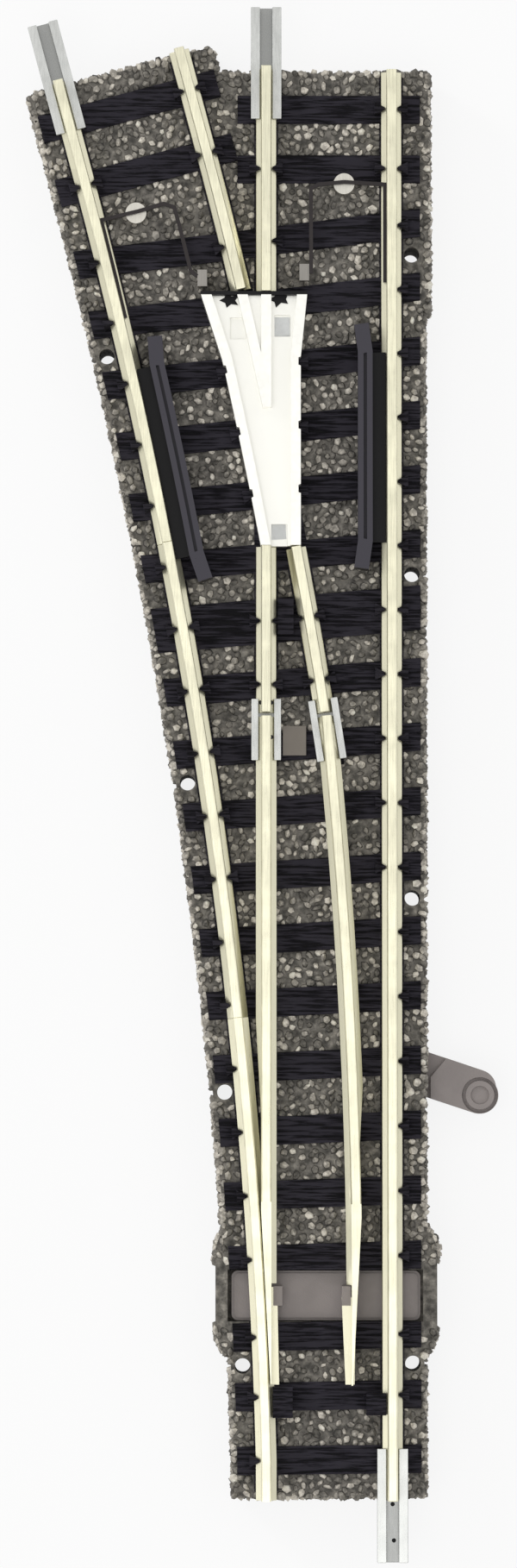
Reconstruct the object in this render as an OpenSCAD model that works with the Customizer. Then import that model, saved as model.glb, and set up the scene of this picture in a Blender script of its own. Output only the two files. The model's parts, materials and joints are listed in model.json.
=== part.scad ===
// Left-hand model turnout on a moulded ballast bed, with a hand lever.
// Y runs along the straight route from the toe, X to the right, Z up from the base.

/* [Track] */
// Distance between the inner faces of the rail heads
gauge = 9; // [8.9:0.05:9.1]
// Length of the straight route
straight_len = 111.1; // [110.5:0.1:112]
// Radius of the diverging route's centre line
curve_radius = 435; // [430:1:440]
// Direction of the diverging route where it ends
turnout_angle = 15; // [14.8:0.1:15.2]
// Angle of the set that opens the curve ahead of the blades
entry_angle = 1.4; // [1.3:0.05:1.6]
// Distance from the toe to the set
set_y = 2.8; // [2.5:0.1:3]
// Straight piece at the end of the diverging route
stub_len = 6.6; // [6.2:0.1:7]

/* [Rail] */
// Height of the rail
rail_h = 2; // [1.9:0.02:2.1]
// Width of the rail head
head_w = 0.8; // [0.7:0.02:0.86]
// Width of the rail foot
foot_w = 1.6; // [1.4:0.02:1.64]
// Thickness of the web
web_w = 0.5; // [0.4:0.02:0.6]
// Height of the foot where it meets the web
foot_h = 0.42; // [0.36:0.01:0.46]
// Thickness of the foot at its edge
foot_edge = 0.26; // [0.2:0.01:0.3]
// Height of the head
head_h = 0.58; // [0.5:0.01:0.64]
// How far the rails stand out of the bed at its ends
rail_end = 0.3; // [0.1:0.05:0.5]

/* [Bed] */
// Height of the ballast
bed_h = 4.8; // [4.7:0.05:5]
// Half the width of the ballast along either route
bed_half = 7.4; // [7.3:0.05:7.6]
// Thickness of the side walls
bed_wall = 1.8; // [1.6:0.05:2]
// Thickness of the roof over the hollows
bed_roof = 1.6; // [1.5:0.05:1.7]
// Extra width beside the straight route beyond the frog
shoulder_w = 0.4; // [0.2:0.05:0.6]
// Distance from the toe to that wider stretch
shoulder_y = 92.4; // [91:0.1:93]
// Radius of the nail holes
nail_r = 0.6; // [0.5:0.05:0.65]
// Distance from a nail hole's centre to the edge of the bed
nail_inset = 0.9; // [0.86:0.01:0.92]

/* [Sleepers] */
// Width of a sleeper
sleeper_w = 2.2; // [2:0.05:2.4]
// Width of the broad sleeper between the closure rails
broad_w = 3.5; // [3.2:0.05:3.7]
// Distance between sleepers
sleeper_pitch = 5.04; // [5:0.01:5.08]
// Ballast left beyond a sleeper's end
sleeper_margin = 0.25; // [0.2:0.01:0.3]
// Height of the sleepers over the ballast
sleeper_rise = 0.3; // [0.2:0.02:0.4]
// Depth of the sleepers' grooves in the ballast
sleeper_sink = 0.6; // [0.5:0.02:0.65]
// How far the ribs under the rails reach past the foot
rib_edge = 0.13; // [0.1:0.01:0.15]
// Height of a chair over the rail foot
chair_h = 0.2; // [0.15:0.01:0.25]
// How far a chair reaches out from the rail foot
chair_out = 0.5; // [0.4:0.02:0.6]
// How far a chair grips the rail foot
chair_grip = 0.3; // [0.2:0.02:0.32]

/* [Blades] */
// Distance from the toe to the blade tips
tip_y = 8.8; // [8.7:0.05:9.1]
// Distance from the toe to the blades' heel pins
heel_y = 59.5; // [59:0.1:60]
// Rail of a blade beyond its heel pin
heel_tail = 1; // [0.8:0.05:1.2]
// Gap between the end of a blade and its closure rail
heel_gap = 0.3; // [0.2:0.05:0.4]
// Length of the solid tip of a blade
tip_len = 14; // [12:0.5:16]
// Gap left between a closed blade and its stock rail
blade_gap = 0.06; // [0.04:0.01:0.08]
// Height that the blades run over the sleepers
blade_lift = 0.03; // [0.02:0.01:0.05]
// Radius of a heel pin
heel_pin_r = 0.3; // [0.28:0.01:0.32]

/* [Frog] */
// Width of the flangeways
flangeway = 1.5; // [1.4:0.02:1.6]
// Depth of the flangeways under the rail top
flange_depth = 0.95; // [0.85:0.02:1.05]
// Distance from the toe to the throat end of the casting
frog_y0 = 73.8; // [73.5:0.05:74]
// Distance from the toe to the far end of the casting
frog_y1 = 93.4; // [93.2:0.05:93.6]
// Distance from the toe to the point of the V
nose_y = 84.6; // [84:0.1:85.5]
// Thickness of the strip that parts the frog from the rails beyond
insulator_t = 0.3; // [0.25:0.01:0.35]
// How far the wing rails flare at the far end
wing_flare = 0.5; // [0.4:0.02:0.6]

/* [Check rails] */
// Distance from the toe to the near end of the check rails
check_y0 = 71.9; // [71.5:0.1:72.2]
// Distance from the toe to the far end of the check rails
check_y1 = 91.2; // [90.8:0.1:91.5]
// Length of a flared end
check_flare_len = 2.2; // [2:0.1:2.4]
// Angle of a flared end
check_flare = 8; // [5:0.5:10]

/* [Joiners] */
// Length of an outer rail joiner
joiner_len = 8.8; // [8:0.1:9]
// Width of an outer rail joiner
joiner_w = 2.4; // [2.3:0.02:2.5]
// Thickness of a joiner's floor
joiner_floor = 0.2; // [0.15:0.01:0.22]
// Width of a heel joiner
heel_joiner_w = 2.3; // [2.26:0.02:2.4]
// Length of a heel joiner
heel_joiner_len = 4.8; // [4.6:0.1:5]

/* [Throw] */
// Travel of the tie bar
throw = 2.2; // [2.1:0.02:2.3]
// Distance from the toe to the middle of the tie bar
tie_y = 15.5; // [15.4:0.05:15.6]
// Width of the tie bar along the track
tie_w = 3.85; // [3.7:0.05:3.9]
// Thickness of the tie bar
tie_t = 0.95; // [0.9:0.01:1]
// Left end of the tie bar at rest
tie_left = -7.6; // [-7.7:0.05:-7.4]
// Right end of the tie bar at rest
tie_right = 7.1; // [7:0.05:7.15]
// Length of a lug on the tie bar
lug_len = 1.5; // [1.3:0.05:1.6]
// Gap between a sliding piece and its guide
slide_gap = 0.08; // [0.06:0.01:0.1]
// Distance from the lever's pin to the edge of the bed
lever_inset = 3.4; // [3.3:0.1:3.6]
// Distance from the toe to the lever's pin
lever_y = 33.9; // [33.8:0.1:34]
// Swing of the lever to either side
lever_swing = 20; // [19:0.5:21]
// Distance from the lever's pin to its knob
lever_reach = 8.3; // [8.2:0.1:8.5]
// Half the width of the lever
lever_half = 1.7; // [1.6:0.05:1.75]
// Thickness of the lever inside the bed
lever_t = 0.7; // [0.65:0.01:0.72]
// Thickness of the rocker
rocker_t = 0.5; // [0.45:0.01:0.55]
// Radius of the pivot pins
pivot_r = 0.5; // [0.45:0.01:0.55]
// Running gap round a pin
pin_gap = 0.05; // [0.04:0.01:0.08]

/* [Cover] */
// Thickness of the bottom cover
cover_t = 0.7; // [0.65:0.01:0.75]
// Radius of a cover screw's head
screw_head_r = 0.9; // [0.8:0.05:1]
// Radius of a cover screw's shank
screw_r = 0.45; // [0.4:0.02:0.5]

/* [Feed] */
// Width of a feed clip's wire
clip_w = 0.3; // [0.26:0.02:0.36]
// Radius of a feed stud
stud_r = 0.82; // [0.75:0.01:0.85]

/* [Hidden] */

$fn = 48;
arc_fn = 720;

// Colours
rail_colour = "#efe8cf";
cast_colour = "#e9e9e4";
joiner_colour = "#d9d9d2";
black_colour = "#2b2930";
ballast_colour = "#857c6f";
grey_colour = "#8a8480";
brass_colour = "#b59a55";

// Heights
sleeper_top = bed_h + sleeper_rise;
sleeper_bottom = bed_h - sleeper_sink;
rail_z = sleeper_top;
rail_top = rail_z + rail_h;
foot_top = rail_z + foot_h;
frog_floor = rail_top - flange_depth;
roof_z = bed_h - bed_roof;

// Plan of the two routes
rail_x = gauge / 2 + head_w / 2;
lever_x = bed_half - lever_inset;
left_r = curve_radius - rail_x;
right_r = curve_radius + rail_x;
curve_x = -rail_x - left_r * cos(entry_angle);
curve_y = set_y - left_r * sin(entry_angle);

// X of a circle round the curve's centre, and the angle there, at a given Y
function arc_x(r, y) = curve_x + sqrt(r * r - (y - curve_y) ^ 2);
function arc_angle(r, y) = asin((y - curve_y) / r);

// Direction of the diverging route at a given Y
function heading(y) =
    y < set_y ? 0 : min(turnout_angle, arc_angle(curve_radius, y));

// Sweeps a section, drawn across the track, along Y
module run(y0, y1) {
    translate([0, y1, 0]) rotate([90, 0, 0]) linear_extrude(y1 - y0) children();
}

// Sweeps a section, drawn at its radius, round the diverging curve
module bend(a0, a1) {
    translate([curve_x, curve_y, 0]) rotate(a1)
        rotate_extrude(angle = a1 - a0, start = a0 - a1, $fn = arc_fn) children();
}

// Turns to an angle of the curve: X is then the radius and Y runs along the rail
module at_angle(a) {
    translate([curve_x, curve_y, 0]) rotate(a) children();
}

// Section of the rail, standing at x
module rail_section(x = 0) {
    half = [[foot_w / 2, 0], [foot_w / 2, foot_edge], [web_w / 2, foot_h],
        [web_w / 2, rail_h - head_h - 0.1], [head_w / 2, rail_h - head_h],
        [head_w / 2, rail_h - 0.1], [head_w / 2 - 0.1, rail_h]];
    last = len(half) - 1;
    mirrored = [for (i = [0:last]) [-half[last - i].x, half[last - i].y]];
    translate([x, rail_z]) polygon(concat(half, mirrored));
}

// ---- Ballast bed ----

// Plan of a piece of a ring round the curve's centre
module band_plan(r, half, a0, a1) {
    far = 1.2 * curve_radius;
    at_angle(0) intersection() {
        difference() {
            circle(r = r + half, $fn = arc_fn);
            circle(r = r - half, $fn = arc_fn);
        }
        polygon([[0, 0], far * [cos(a0), sin(a0)], far * [cos(a1), sin(a1)]]);
    }
}

// Plan of both routes, drawn in by a margin
module route_plan(margin) {
    half = bed_half - margin;
    translate([-half, margin]) square([2 * half, straight_len - 2 * margin]);
    band_plan(curve_radius, half, entry_angle, turnout_angle);
    at_angle(turnout_angle) translate([curve_radius - half, 0])
        square([2 * half, stub_len - margin]);
}

// The ballast between the two ends
module fork_plan() {
    end = [curve_x, curve_y]
        + (curve_radius + bed_half) * [cos(turnout_angle), sin(turnout_angle)]
        + stub_len * [-sin(turnout_angle), cos(turnout_angle)];
    left = end.x + (end.y - straight_len) * tan(turnout_angle);
    fill_len = 10;
    translate([left, straight_len - fill_len]) square([-bed_half - left + 0.2, fill_len]);
}

// The wider stretch that hides the ends of the tie bar
lobe_left = 8.85;
lobe_right = 8.4;
lobe_r = 3;
lobe_y0 = tie_y - 5.4;
lobe_y1 = tie_y + 6.2;
module lobe_plan() {
    wide = lobe_left + lobe_right;
    translate([-lobe_left, lobe_y0 + lobe_r]) square([wide, lobe_y1 - lobe_y0 - 2 * lobe_r]);
    translate([lobe_r - lobe_left, lobe_y0]) square([wide - 2 * lobe_r, lobe_y1 - lobe_y0]);
    for (x = [lobe_r - lobe_left, lobe_right - lobe_r], y = [lobe_y0 + lobe_r, lobe_y1 - lobe_r])
        translate([x, y]) circle(r = lobe_r);
}

module bed_plan() {
    route_plan(0);
    fork_plan();
    lobe_plan();
    translate([0, shoulder_y]) square([bed_half + shoulder_w, straight_len - shoulder_y]);
}

// Where the nail holes are, each in a gap between sleepers
right_nail_ys = [10.25, 46.4, 71.7, 96.8];
left_nail_ys = [10.05, 31.3, 55.4, 88.8];
module at_nail_holes() {
    for (y = right_nail_ys) translate([bed_half - nail_inset, y, 0]) children();
    left_edge = curve_radius - bed_half + nail_inset;
    for (y = left_nail_ys) translate([arc_x(left_edge, y), y, 0]) children();
}

// Plan of the hollows under the bed, with ribs between them
hollow_ys = [[1, 8.6], [47.6, 66], [67.5, 86], [87.5, 107]];
module hollow_plan() {
    intersection() {
        route_plan(bed_wall);
        union() {
            for (h = hollow_ys) translate([-60, h[0]]) square([120, h[1] - h[0]]);
            translate([-20, 22]) square([20 + cover_x[0] - 1, 22]);
        }
    }
    for (strip = jumper_strips) jumper_plan(strip, jumper_w + 2 * strip_gap);
}

// The hollow that holds the mechanism, and the recess of its cover
mech_roof = roof_z - 0.6;
mech_x = [lever_x - 3, bed_half - 1.1];
mech_y = [tie_y - 1.8, lever_y + 4.6];
cover_x = [mech_x[0] - 2.6, mech_x[1] + 0.5];
cover_y = [mech_y[0] - 2.5, mech_y[1] + 2.5];
module mechanism_hollow() {
    translate([mech_x[0], mech_y[0], cover_t - 0.5])
        cube([mech_x[1] - mech_x[0], mech_y[1] - mech_y[0], mech_roof - cover_t + 0.5]);
    translate([cover_x[0], cover_y[0], -1])
        cube([cover_x[1] - cover_x[0], cover_y[1] - cover_y[0], cover_t + 1]);
    lever_window();
    tie_channel();
}

// Slot in the side wall that the lever swings in
window_out = bed_half - lever_x + 0.4;
window_half = window_out * tan(lever_swing) + (lever_half + 0.15) / cos(lever_swing) + 0.1;
module lever_window() {
    translate([lever_x, lever_y - window_half, lever_z - 0.1])
        cube([window_out + 1, 2 * window_half, lever_t + 0.2]);
}

// Channel that the tie bar slides in, roofed over at the right
tie_z = roof_z + 0.05;
channel_left = tie_left - 0.3;
channel_right = tie_right + 0.2;
channel_half = tie_w / 2 + slide_gap;
module tie_channel() {
    window = tie_stud_r + 0.2;
    translate([channel_left, tie_y - channel_half, roof_z])
        cube([channel_right - channel_left, 2 * channel_half, 5]);
    translate([0, tie_y - channel_half, roof_z])
        cube([lobe_right + 1, 2 * channel_half, tie_t + 0.15]);
    translate([tie_stud_x - window, tie_y - window, cover_t])
        cube([throw + 2 * window, 2 * window, roof_z]);
}

module ballast_bed() {
    color(ballast_colour) {
        difference() {
            linear_extrude(bed_h) bed_plan();
            translate([0, 0, sleeper_bottom]) linear_extrude(bed_h) grid_plan();
            translate([0, 0, -1]) linear_extrude(roof_z + 1) hollow_plan();
            mechanism_hollow();
            at_nail_holes() translate([0, 0, -1]) cylinder(r = nail_r, h = bed_h + 2);
            pin_holes();
            feed_holes();
        }
        translate([spring_to.x, spring_to.y, spring_z - 0.05])
            cylinder(r = spring_post_r, h = mech_roof - spring_z + 0.1);
    }
}

// Holes for the mechanism's pins, the cover's screws and the heel pins
module pin_holes() {
    translate([lever_x, lever_y, 0]) cylinder(r = pivot_r, h = lever_pin_top);
    translate([lever_x, rocker_y, 0]) cylinder(r = pivot_r, h = rocker_pin_top);
    at_cover_screws() cylinder(r = screw_r, h = screw_len);
    for (p = [heel_left, heel_right]) translate([p.x, p.y, heel_pin_z]) cylinder(r = heel_pin_r, h = 2);
}

// Holes for the feed studs and for the posts of the jumper strips
module feed_holes() {
    for (p = stud_points) translate([p.x, p.y, bed_h - stud_sink]) cylinder(r = stud_r, h = 5);
    for (p = tab_points) translate([p.x - tab.x / 2, p.y - tab.y / 2, bed_h - stud_sink])
        cube([tab.x, tab.y, 5]);
    for (strip = jumper_strips, p = strip)
        translate([p.x, p.y, roof_z - 1]) cylinder(r = jumper_post_r, h = 5);
}

// ---- Sleepers ----

// Y of each sleeper at the right-hand edge, from the toe to the frog
toe_ys = [2.9, 7.9, 12.6];
main_y = 18.7;
main_count = 17;
broad_index = 10;
main_ys = [for (i = [0:main_count - 1]) main_y + i * sleeper_pitch];
sleeper_ys = concat(toe_ys, main_ys);
// Distance of the last sleepers from the end of each route
straight_end_ds = [2.9, 7.6];
diverging_end_ds = [2.9, 8.1];

// A sleeper that spans both routes leans half as far as the diverging route does
function lean(y) = heading(y) / 2;

// Y of a leaning sleeper's middle line at a given X
function sleeper_line(y, x) = y - (bed_half - x) * tan(lean(y));

// Where the sleeper's middle line meets a circle round the curve's centre
function crossing_y(y, r, guess, steps = 4) =
    steps == 0 ? guess : crossing_y(y, r, sleeper_line(y, arc_x(r, guess)), steps - 1);
function crossing(y, r) =
    let(cy = crossing_y(y, r, y - 1)) [arc_x(r, cy), cy];

module sleeper_plan() {
    reach = 40;
    intersection() {
        route_plan(sleeper_margin);
        union() for (i = [0:len(sleeper_ys) - 1]) {
            y = sleeper_ys[i];
            w = i == len(toe_ys) + broad_index ? broad_w : sleeper_w;
            translate([bed_half, y]) rotate(lean(y)) translate([-reach, -w / 2]) square([reach + 1, w]);
        }
    }
    half = bed_half - sleeper_margin;
    for (d = straight_end_ds) translate([-half, straight_len - d - sleeper_w / 2])
        square([2 * half, sleeper_w]);
    at_angle(turnout_angle) for (d = diverging_end_ds)
        translate([curve_radius - half, stub_len - d - sleeper_w / 2]) square([2 * half, sleeper_w]);
}

// Ribs that tie the sleepers together under the rails
rib_half = foot_w / 2 + rib_edge;
rib_end = 0.4;
rib_y0 = heel_y - heel_joiner_len / 2 - 0.4;
module straight_rib(x, y0, y1) {
    translate([x - rib_half, y0]) square([2 * rib_half, y1 - y0]);
}
module curved_rib(r, a0) {
    band_plan(r, rib_half, a0, turnout_angle);
    at_angle(turnout_angle) straight_rib(r, 0, stub_len - rib_end);
}
module rib_plan() {
    straight_rib(rail_x, rib_end, straight_len - rib_end);
    straight_rib(-rail_x, rib_end, set_y + 2);
    straight_rib(-rail_x, rib_y0, straight_len - rib_end);
    curved_rib(left_r, entry_angle);
    curved_rib(right_r, arc_angle(right_r, rib_y0));
}

// Sleepers and ribs, parted where the tie bar passes
module grid_plan() {
    difference() {
        union() {
            sleeper_plan();
            rib_plan();
        }
        translate([-20, tie_y - channel_half]) square([40, 2 * channel_half]);
    }
}

// Plan of a chair beside a rail that runs along Y; near is how far from the rail it starts
module chair_plan(side, near) {
    far = foot_w / 2 + chair_out;
    tip = 0.1 + 0.4 * (near - foot_w / 2 + chair_grip) / (chair_out + chair_grip);
    polygon([[side * near, -tip], [side * far, -0.5], [side * far, 0.5], [side * near, tip]]);
}
module chair_at(p, angle, sides, near) {
    translate([p.x, p.y]) rotate(angle) for (s = sides) chair_plan(s, near);
}

// Chairs grip both sides of a rail, except where a blade, joiner, clip or check rail lies
inner_y = [heel_y - 14, check_y0 - 0.8];
module chairs_plan(near) {
    for (y = sleeper_ys) {
        right = [rail_x, sleeper_line(y, rail_x)];
        left = crossing(y, left_r);
        sides = y > inner_y[0] && y < inner_y[1];
        if (y > toe_ys[0]) chair_at(right, 0, sides ? [-1, 1] : [1], near);
        chair_at(left, heading(left.y), sides ? [-1, 1] : [-1], near);
    }
    closure_ys = [for (y = sleeper_ys) if (y > heel_y + 3.4 && y < frog_y0 - 1) y];
    beyond_ys = [for (y = sleeper_ys) if (y > frog_y1 + 3) y];
    for (y = concat(closure_ys, beyond_ys)) {
        p = crossing(y, right_r);
        chair_at([-rail_x, sleeper_line(y, -rail_x)], 0, y > frog_y1 ? [1] : [-1, 1], near);
        chair_at(p, heading(p.y), y > frog_y1 ? [-1] : [-1, 1], near);
    }
    for (d = straight_end_ds) chair_at([rail_x, straight_len - d], 0, [-1, 1], near);
    chair_at([-rail_x, straight_len - straight_end_ds[1]], 0, [-1, 1], near);
    at_angle(turnout_angle) {
        for (d = diverging_end_ds) chair_at([right_r, stub_len - d], 0, [-1, 1], near);
        chair_at([left_r, stub_len - diverging_end_ds[1]], 0, [-1, 1], near);
    }
    stop_plan(near);
}

// Chairs that hold the frog casting in notches of its outer walls
module frog_chairs_plan(gap) {
    half = 0.25 + gap;
    for (y = sleeper_ys) {
        wall = crossing(y, wing_r - wing_w);
        if (wall.y > frog_y0 + 1 && wall.y < frog_y1 - 3) {
            x = wing_x + wing_w;
            translate([x, sleeper_line(y, x)])
                polygon([[-0.15 - gap, -half], [0.6, -half - 0.3], [0.6, half + 0.3], [-0.15 - gap, half]]);
            translate([wall.x, wall.y]) rotate(heading(wall.y))
                polygon([[0.15 + gap, half], [-0.6, half + 0.3], [-0.6, -half - 0.3], [0.15 + gap, -half]]);
        }
    }
}

// The blocks ahead of the blade tips
module stop_plan(near) {
    left = -rail_x + near;
    right = rail_x - near;
    translate([left, 6.1]) square([-2.85 - left, 2.4]);
    translate([2.85, 6.3]) square([right - 2.85, 1.7]);
}

// The block between the closure rails, on the broad sleeper
module broad_block_plan() {
    y = sleeper_line(main_ys[broad_index], -rail_x / 2) + 0.1;
    left = -rail_x + foot_w / 2 + 0.1;
    right = arc_x(right_r, y + 1.5) - foot_w / 2 - 0.1;
    translate([left, y - 1.4]) square([right - left, 2.8]);
}

module grid_layers() {
    translate([0, 0, sleeper_bottom]) linear_extrude(sleeper_rise + sleeper_sink) grid_plan();
    translate([0, 0, sleeper_top]) linear_extrude(foot_h) {
        chairs_plan(foot_w / 2 + 0.01);
        frog_chairs_plan(0);
    }
    translate([0, 0, sleeper_top + foot_h]) linear_extrude(chair_h) {
        chairs_plan(foot_w / 2 - chair_grip);
        frog_chairs_plan(0);
    }
    translate([0, 0, sleeper_top + foot_h + chair_h]) linear_extrude(0.7)
        stop_plan(foot_w / 2 - chair_grip);
    translate([0, 0, sleeper_top]) linear_extrude(0.9) broad_block_plan();
}

module grid_part(y0, y1) {
    color(black_colour) difference() {
        intersection() {
            grid_layers();
            translate([-60, y0, 0]) cube([120, y1 - y0, 20]);
        }
        joiner_beds();
        pin_holes();
        feed_holes();
    }
}

module toe_sleepers() {
    grid_part(0, tie_y);
}

module sleeper_grid() {
    grid_part(tie_y, 120);
}

// ---- Rails ----

// Beyond the set (side 1) or ahead of it (side -1), parted on the mitre between them
module at_set(side) {
    difference() {
        children();
        translate([-rail_x, set_y, 0]) rotate(entry_angle / 2)
            translate([-5, side > 0 ? -10 : 0, 0]) cube([10, 10, 10]);
    }
}

// The long curved rail is one bar. It is drawn in three lengths, so that the simple
// hulls that stand for it in a simulation stay clear of the nail holes beside it.
stock_cuts = [for (i = [1, 2]) arc_angle(left_r, i * straight_len / 3)];
module left_stock_rail() {
    color(rail_colour) {
        at_set(1) bend(entry_angle - 0.1, stock_cuts[0]) rail_section(left_r);
        at_set(-1) run(-rail_end, set_y + 1) rail_section(-rail_x);
    }
}

module left_stock_rail_middle() {
    color(rail_colour) bend(stock_cuts[0], stock_cuts[1]) rail_section(left_r);
}

module left_stock_rail_far() {
    color(rail_colour) {
        bend(stock_cuts[1], turnout_angle) rail_section(left_r);
        at_angle(turnout_angle) run(0, stub_len + rail_end) rail_section(left_r);
    }
}

module right_stock_rail() {
    color(rail_colour) run(-rail_end, straight_len) rail_section(rail_x);
}

closure_y0 = heel_y + heel_tail + heel_gap;
module left_closure_rail() {
    color(rail_colour) run(closure_y0, frog_y0) rail_section(-rail_x);
}

module right_closure_rail() {
    color(rail_colour)
        bend(arc_angle(right_r, closure_y0), arc_angle(right_r, frog_y0) - 0.01)
            rail_section(right_r);
}

beyond_y = frog_y1 + insulator_t;
module straight_inner_rail() {
    color(rail_colour) run(beyond_y, straight_len + rail_end) rail_section(-rail_x);
}

module diverging_inner_rail() {
    color(rail_colour) {
        at_angle(turnout_angle) run(0, stub_len + rail_end) rail_section(right_r);
        bend(arc_angle(right_r, beyond_y) + 0.02, turnout_angle) rail_section(right_r);
    }
}

// ---- Frog ----

wing_w = head_w;
// Left side of the right wing, and the radius of the left wing's right side
wing_x = -rail_x + head_w / 2 + flangeway;
wing_r = right_r - head_w / 2 - flangeway;
flare_y = frog_y1 - 4.9;

// Outline of the right wing, and of the left wing's flare
module right_wing_plan(inner) {
    polygon([[wing_x + wing_w, frog_y0], [wing_x + wing_w, flare_y],
        [wing_x + wing_w + wing_flare, frog_y1], [inner + wing_flare, frog_y1],
        [inner, flare_y], [inner, frog_y0]]);
}
left_flare_angle = arc_angle(wing_r, flare_y);
module left_flare_plan(outer) {
    at_angle(left_flare_angle)
        polygon([[outer, 0], [wing_r, 0], [wing_r - wing_flare, 5.4], [outer - wing_flare, 5.4]]);
}

// The floor between the wings, up to a height
module frog_base(top) {
    difference() {
        translate([-12, frog_y0, rail_z])
            cube([12 + wing_x + wing_w, frog_y1 - frog_y0, top - rail_z]);
        translate([curve_x, curve_y, 0]) cylinder(r = wing_r - wing_w, h = rail_top + 1, $fn = arc_fn);
    }
    translate([0, 0, rail_z]) linear_extrude(top - rail_z) {
        right_wing_plan(wing_x - 1);
        intersection() {
            left_flare_plan(wing_r - wing_w);
            translate([-20, 0]) square([20, frog_y1]);
        }
    }
}

// The V: right of the left running edge and left of the right running edge
module frog_v() {
    v_floor = frog_floor + 0.25;
    v_side = -rail_x + head_w / 2;
    difference() {
        translate([-9, nose_y, rail_z + 0.1]) cube([9 + v_side, frog_y1 - nose_y, rail_h - 0.1]);
        translate([curve_x, curve_y, 0])
            cylinder(r = right_r - head_w / 2, h = rail_top + 1, $fn = arc_fn);
        difference() {
            translate([-9, nose_y, v_floor]) cube([9 + v_side - head_w, 20, 5]);
            translate([curve_x, curve_y, 0])
                cylinder(r = right_r + head_w / 2, h = rail_top + 1, $fn = arc_fn);
        }
    }
}

module frog_wings() {
    h = rail_top - rail_z - 0.1;
    translate([0, 0, rail_z + 0.1]) linear_extrude(h) right_wing_plan(wing_x);
    bend(arc_angle(wing_r, frog_y0), left_flare_angle)
        translate([wing_r - wing_w, rail_z + 0.1]) square([wing_w, h]);
    translate([0, 0, rail_z + 0.1]) linear_extrude(h) intersection() {
        left_flare_plan(wing_r - wing_w);
        translate([-20, 0]) square([20, frog_y1]);
    }
}

// Deeper pockets at both mouths of the flangeways and in the throat
module frog_pockets() {
    depth = 0.45;
    pocket = [1.25, 1.7];
    v_left = arc_x(right_r - head_w / 2, frog_y1 - 3.4);
    for (p = [[v_left - pocket.x - 0.1, frog_y1 - 3.4], [wing_x - pocket.x, frog_y1 - 3.2],
        [-rail_x + head_w / 2, frog_y0]])
        translate([p.x, p.y, frog_floor - depth]) cube([pocket.x, pocket.y, 2]);
}

module frog_casting() {
    color(cast_colour) difference() {
        union() {
            difference() {
                frog_base(frog_floor);
                frog_pockets();
            }
            frog_v();
            frog_wings();
        }
        translate([0, 0, rail_z - 1]) linear_extrude(rail_h + 2) frog_chairs_plan(0.03);
        translate([-20, frog_y0 - 5, rail_z - 1]) cube([40, 5, rail_h + 2]);
    }
}

module frog_insulator() {
    left = arc_x(wing_r - wing_w, frog_y1) - wing_flare;
    color(black_colour) translate([left, frog_y1, rail_z])
        cube([wing_x + wing_w + wing_flare - left, insulator_t, rail_h - 0.3]);
}

// ---- Check rails ----

// Section of a check rail: u is the distance from the running rail's middle
module check_section(side, at) {
    ridge = [1.5, 2.65];
    groove = [1.95, 2.2];
    shelf_z = foot_h + 0.06;
    pts = [[ridge[1], 0], [0.85, 0], [0.85, shelf_z], [0.45, shelf_z],
        [0.45, shelf_z + 0.25], [ridge[0], shelf_z + 0.25], [ridge[0], rail_h],
        [groove[0], rail_h], [groove[0], rail_h - 0.4], [groove[1], rail_h - 0.4],
        [groove[1], rail_h], [ridge[1], rail_h]];
    translate([at, rail_z]) polygon([for (p = pts) [side * p.x, p.y]]);
}

// Only the ridge, for the flared ends
module check_ridge(side, at) {
    translate([at + side * 2.075, rail_z + rail_h / 2]) square([1.15, rail_h], center = true);
}

module right_check_rail() {
    y0 = check_y0 + check_flare_len;
    y1 = check_y1 - check_flare_len;
    color(black_colour) {
        run(y0, y1) check_section(-1, rail_x);
        translate([rail_x - 1.5, y1, 0]) rotate(check_flare) run(-0.1, check_flare_len)
            check_ridge(-1, 1.5);
        translate([rail_x - 1.5, y0, 0]) rotate(-check_flare) run(-check_flare_len, 0.1)
            check_ridge(-1, 1.5);
    }
}

module left_check_rail() {
    a0 = arc_angle(left_r + 2, check_y0 + check_flare_len - 1);
    a1 = arc_angle(left_r + 2, check_y1 - check_flare_len - 1);
    color(black_colour) {
        bend(a0, a1) check_section(1, left_r);
        at_angle(a1) translate([left_r + 1.5, 0, 0]) rotate(-check_flare)
            run(-0.1, check_flare_len) check_ridge(1, -1.5);
        at_angle(a0) translate([left_r + 1.5, 0, 0]) rotate(check_flare)
            run(-check_flare_len, 0.1) check_ridge(1, -1.5);
    }
}

// ---- Joiners ----

// Folded channel round the rail foot, along Y, with its middle at the origin
module joiner(w, length, slack) {
    inside = foot_w / 2 + slack;
    lip = web_w / 2 + 0.2 + slack;
    top = foot_h + 0.22;
    difference() {
        translate([-w / 2, -length / 2, rail_z - joiner_floor])
            cube([w, length, joiner_floor + top]);
        translate([-inside, -length, rail_z]) cube([2 * inside, 2 * length, foot_h + 0.04]);
        translate([-lip, -length, rail_z]) cube([2 * lip, 2 * length, top + 1]);
    }
}

// Where the joiners lie, and the room that the bed and the grid leave them
module at_toe_joiner() translate([rail_x, -0.7, 0]) children();
module at_straight_joiner() translate([-rail_x, straight_len + 0.7, 0]) children();
module at_diverging_joiner() {
    at_angle(turnout_angle) translate([left_r, stub_len + 0.7, 0]) children();
}
heel_right = [arc_x(right_r, heel_y), heel_y];
heel_left = [-rail_x, heel_y];
module at_left_heel() translate([heel_left.x, heel_left.y, 0]) children();
module at_right_heel() {
    translate([heel_right.x, heel_right.y, 0]) rotate(arc_angle(right_r, heel_y)) children();
}

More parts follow.
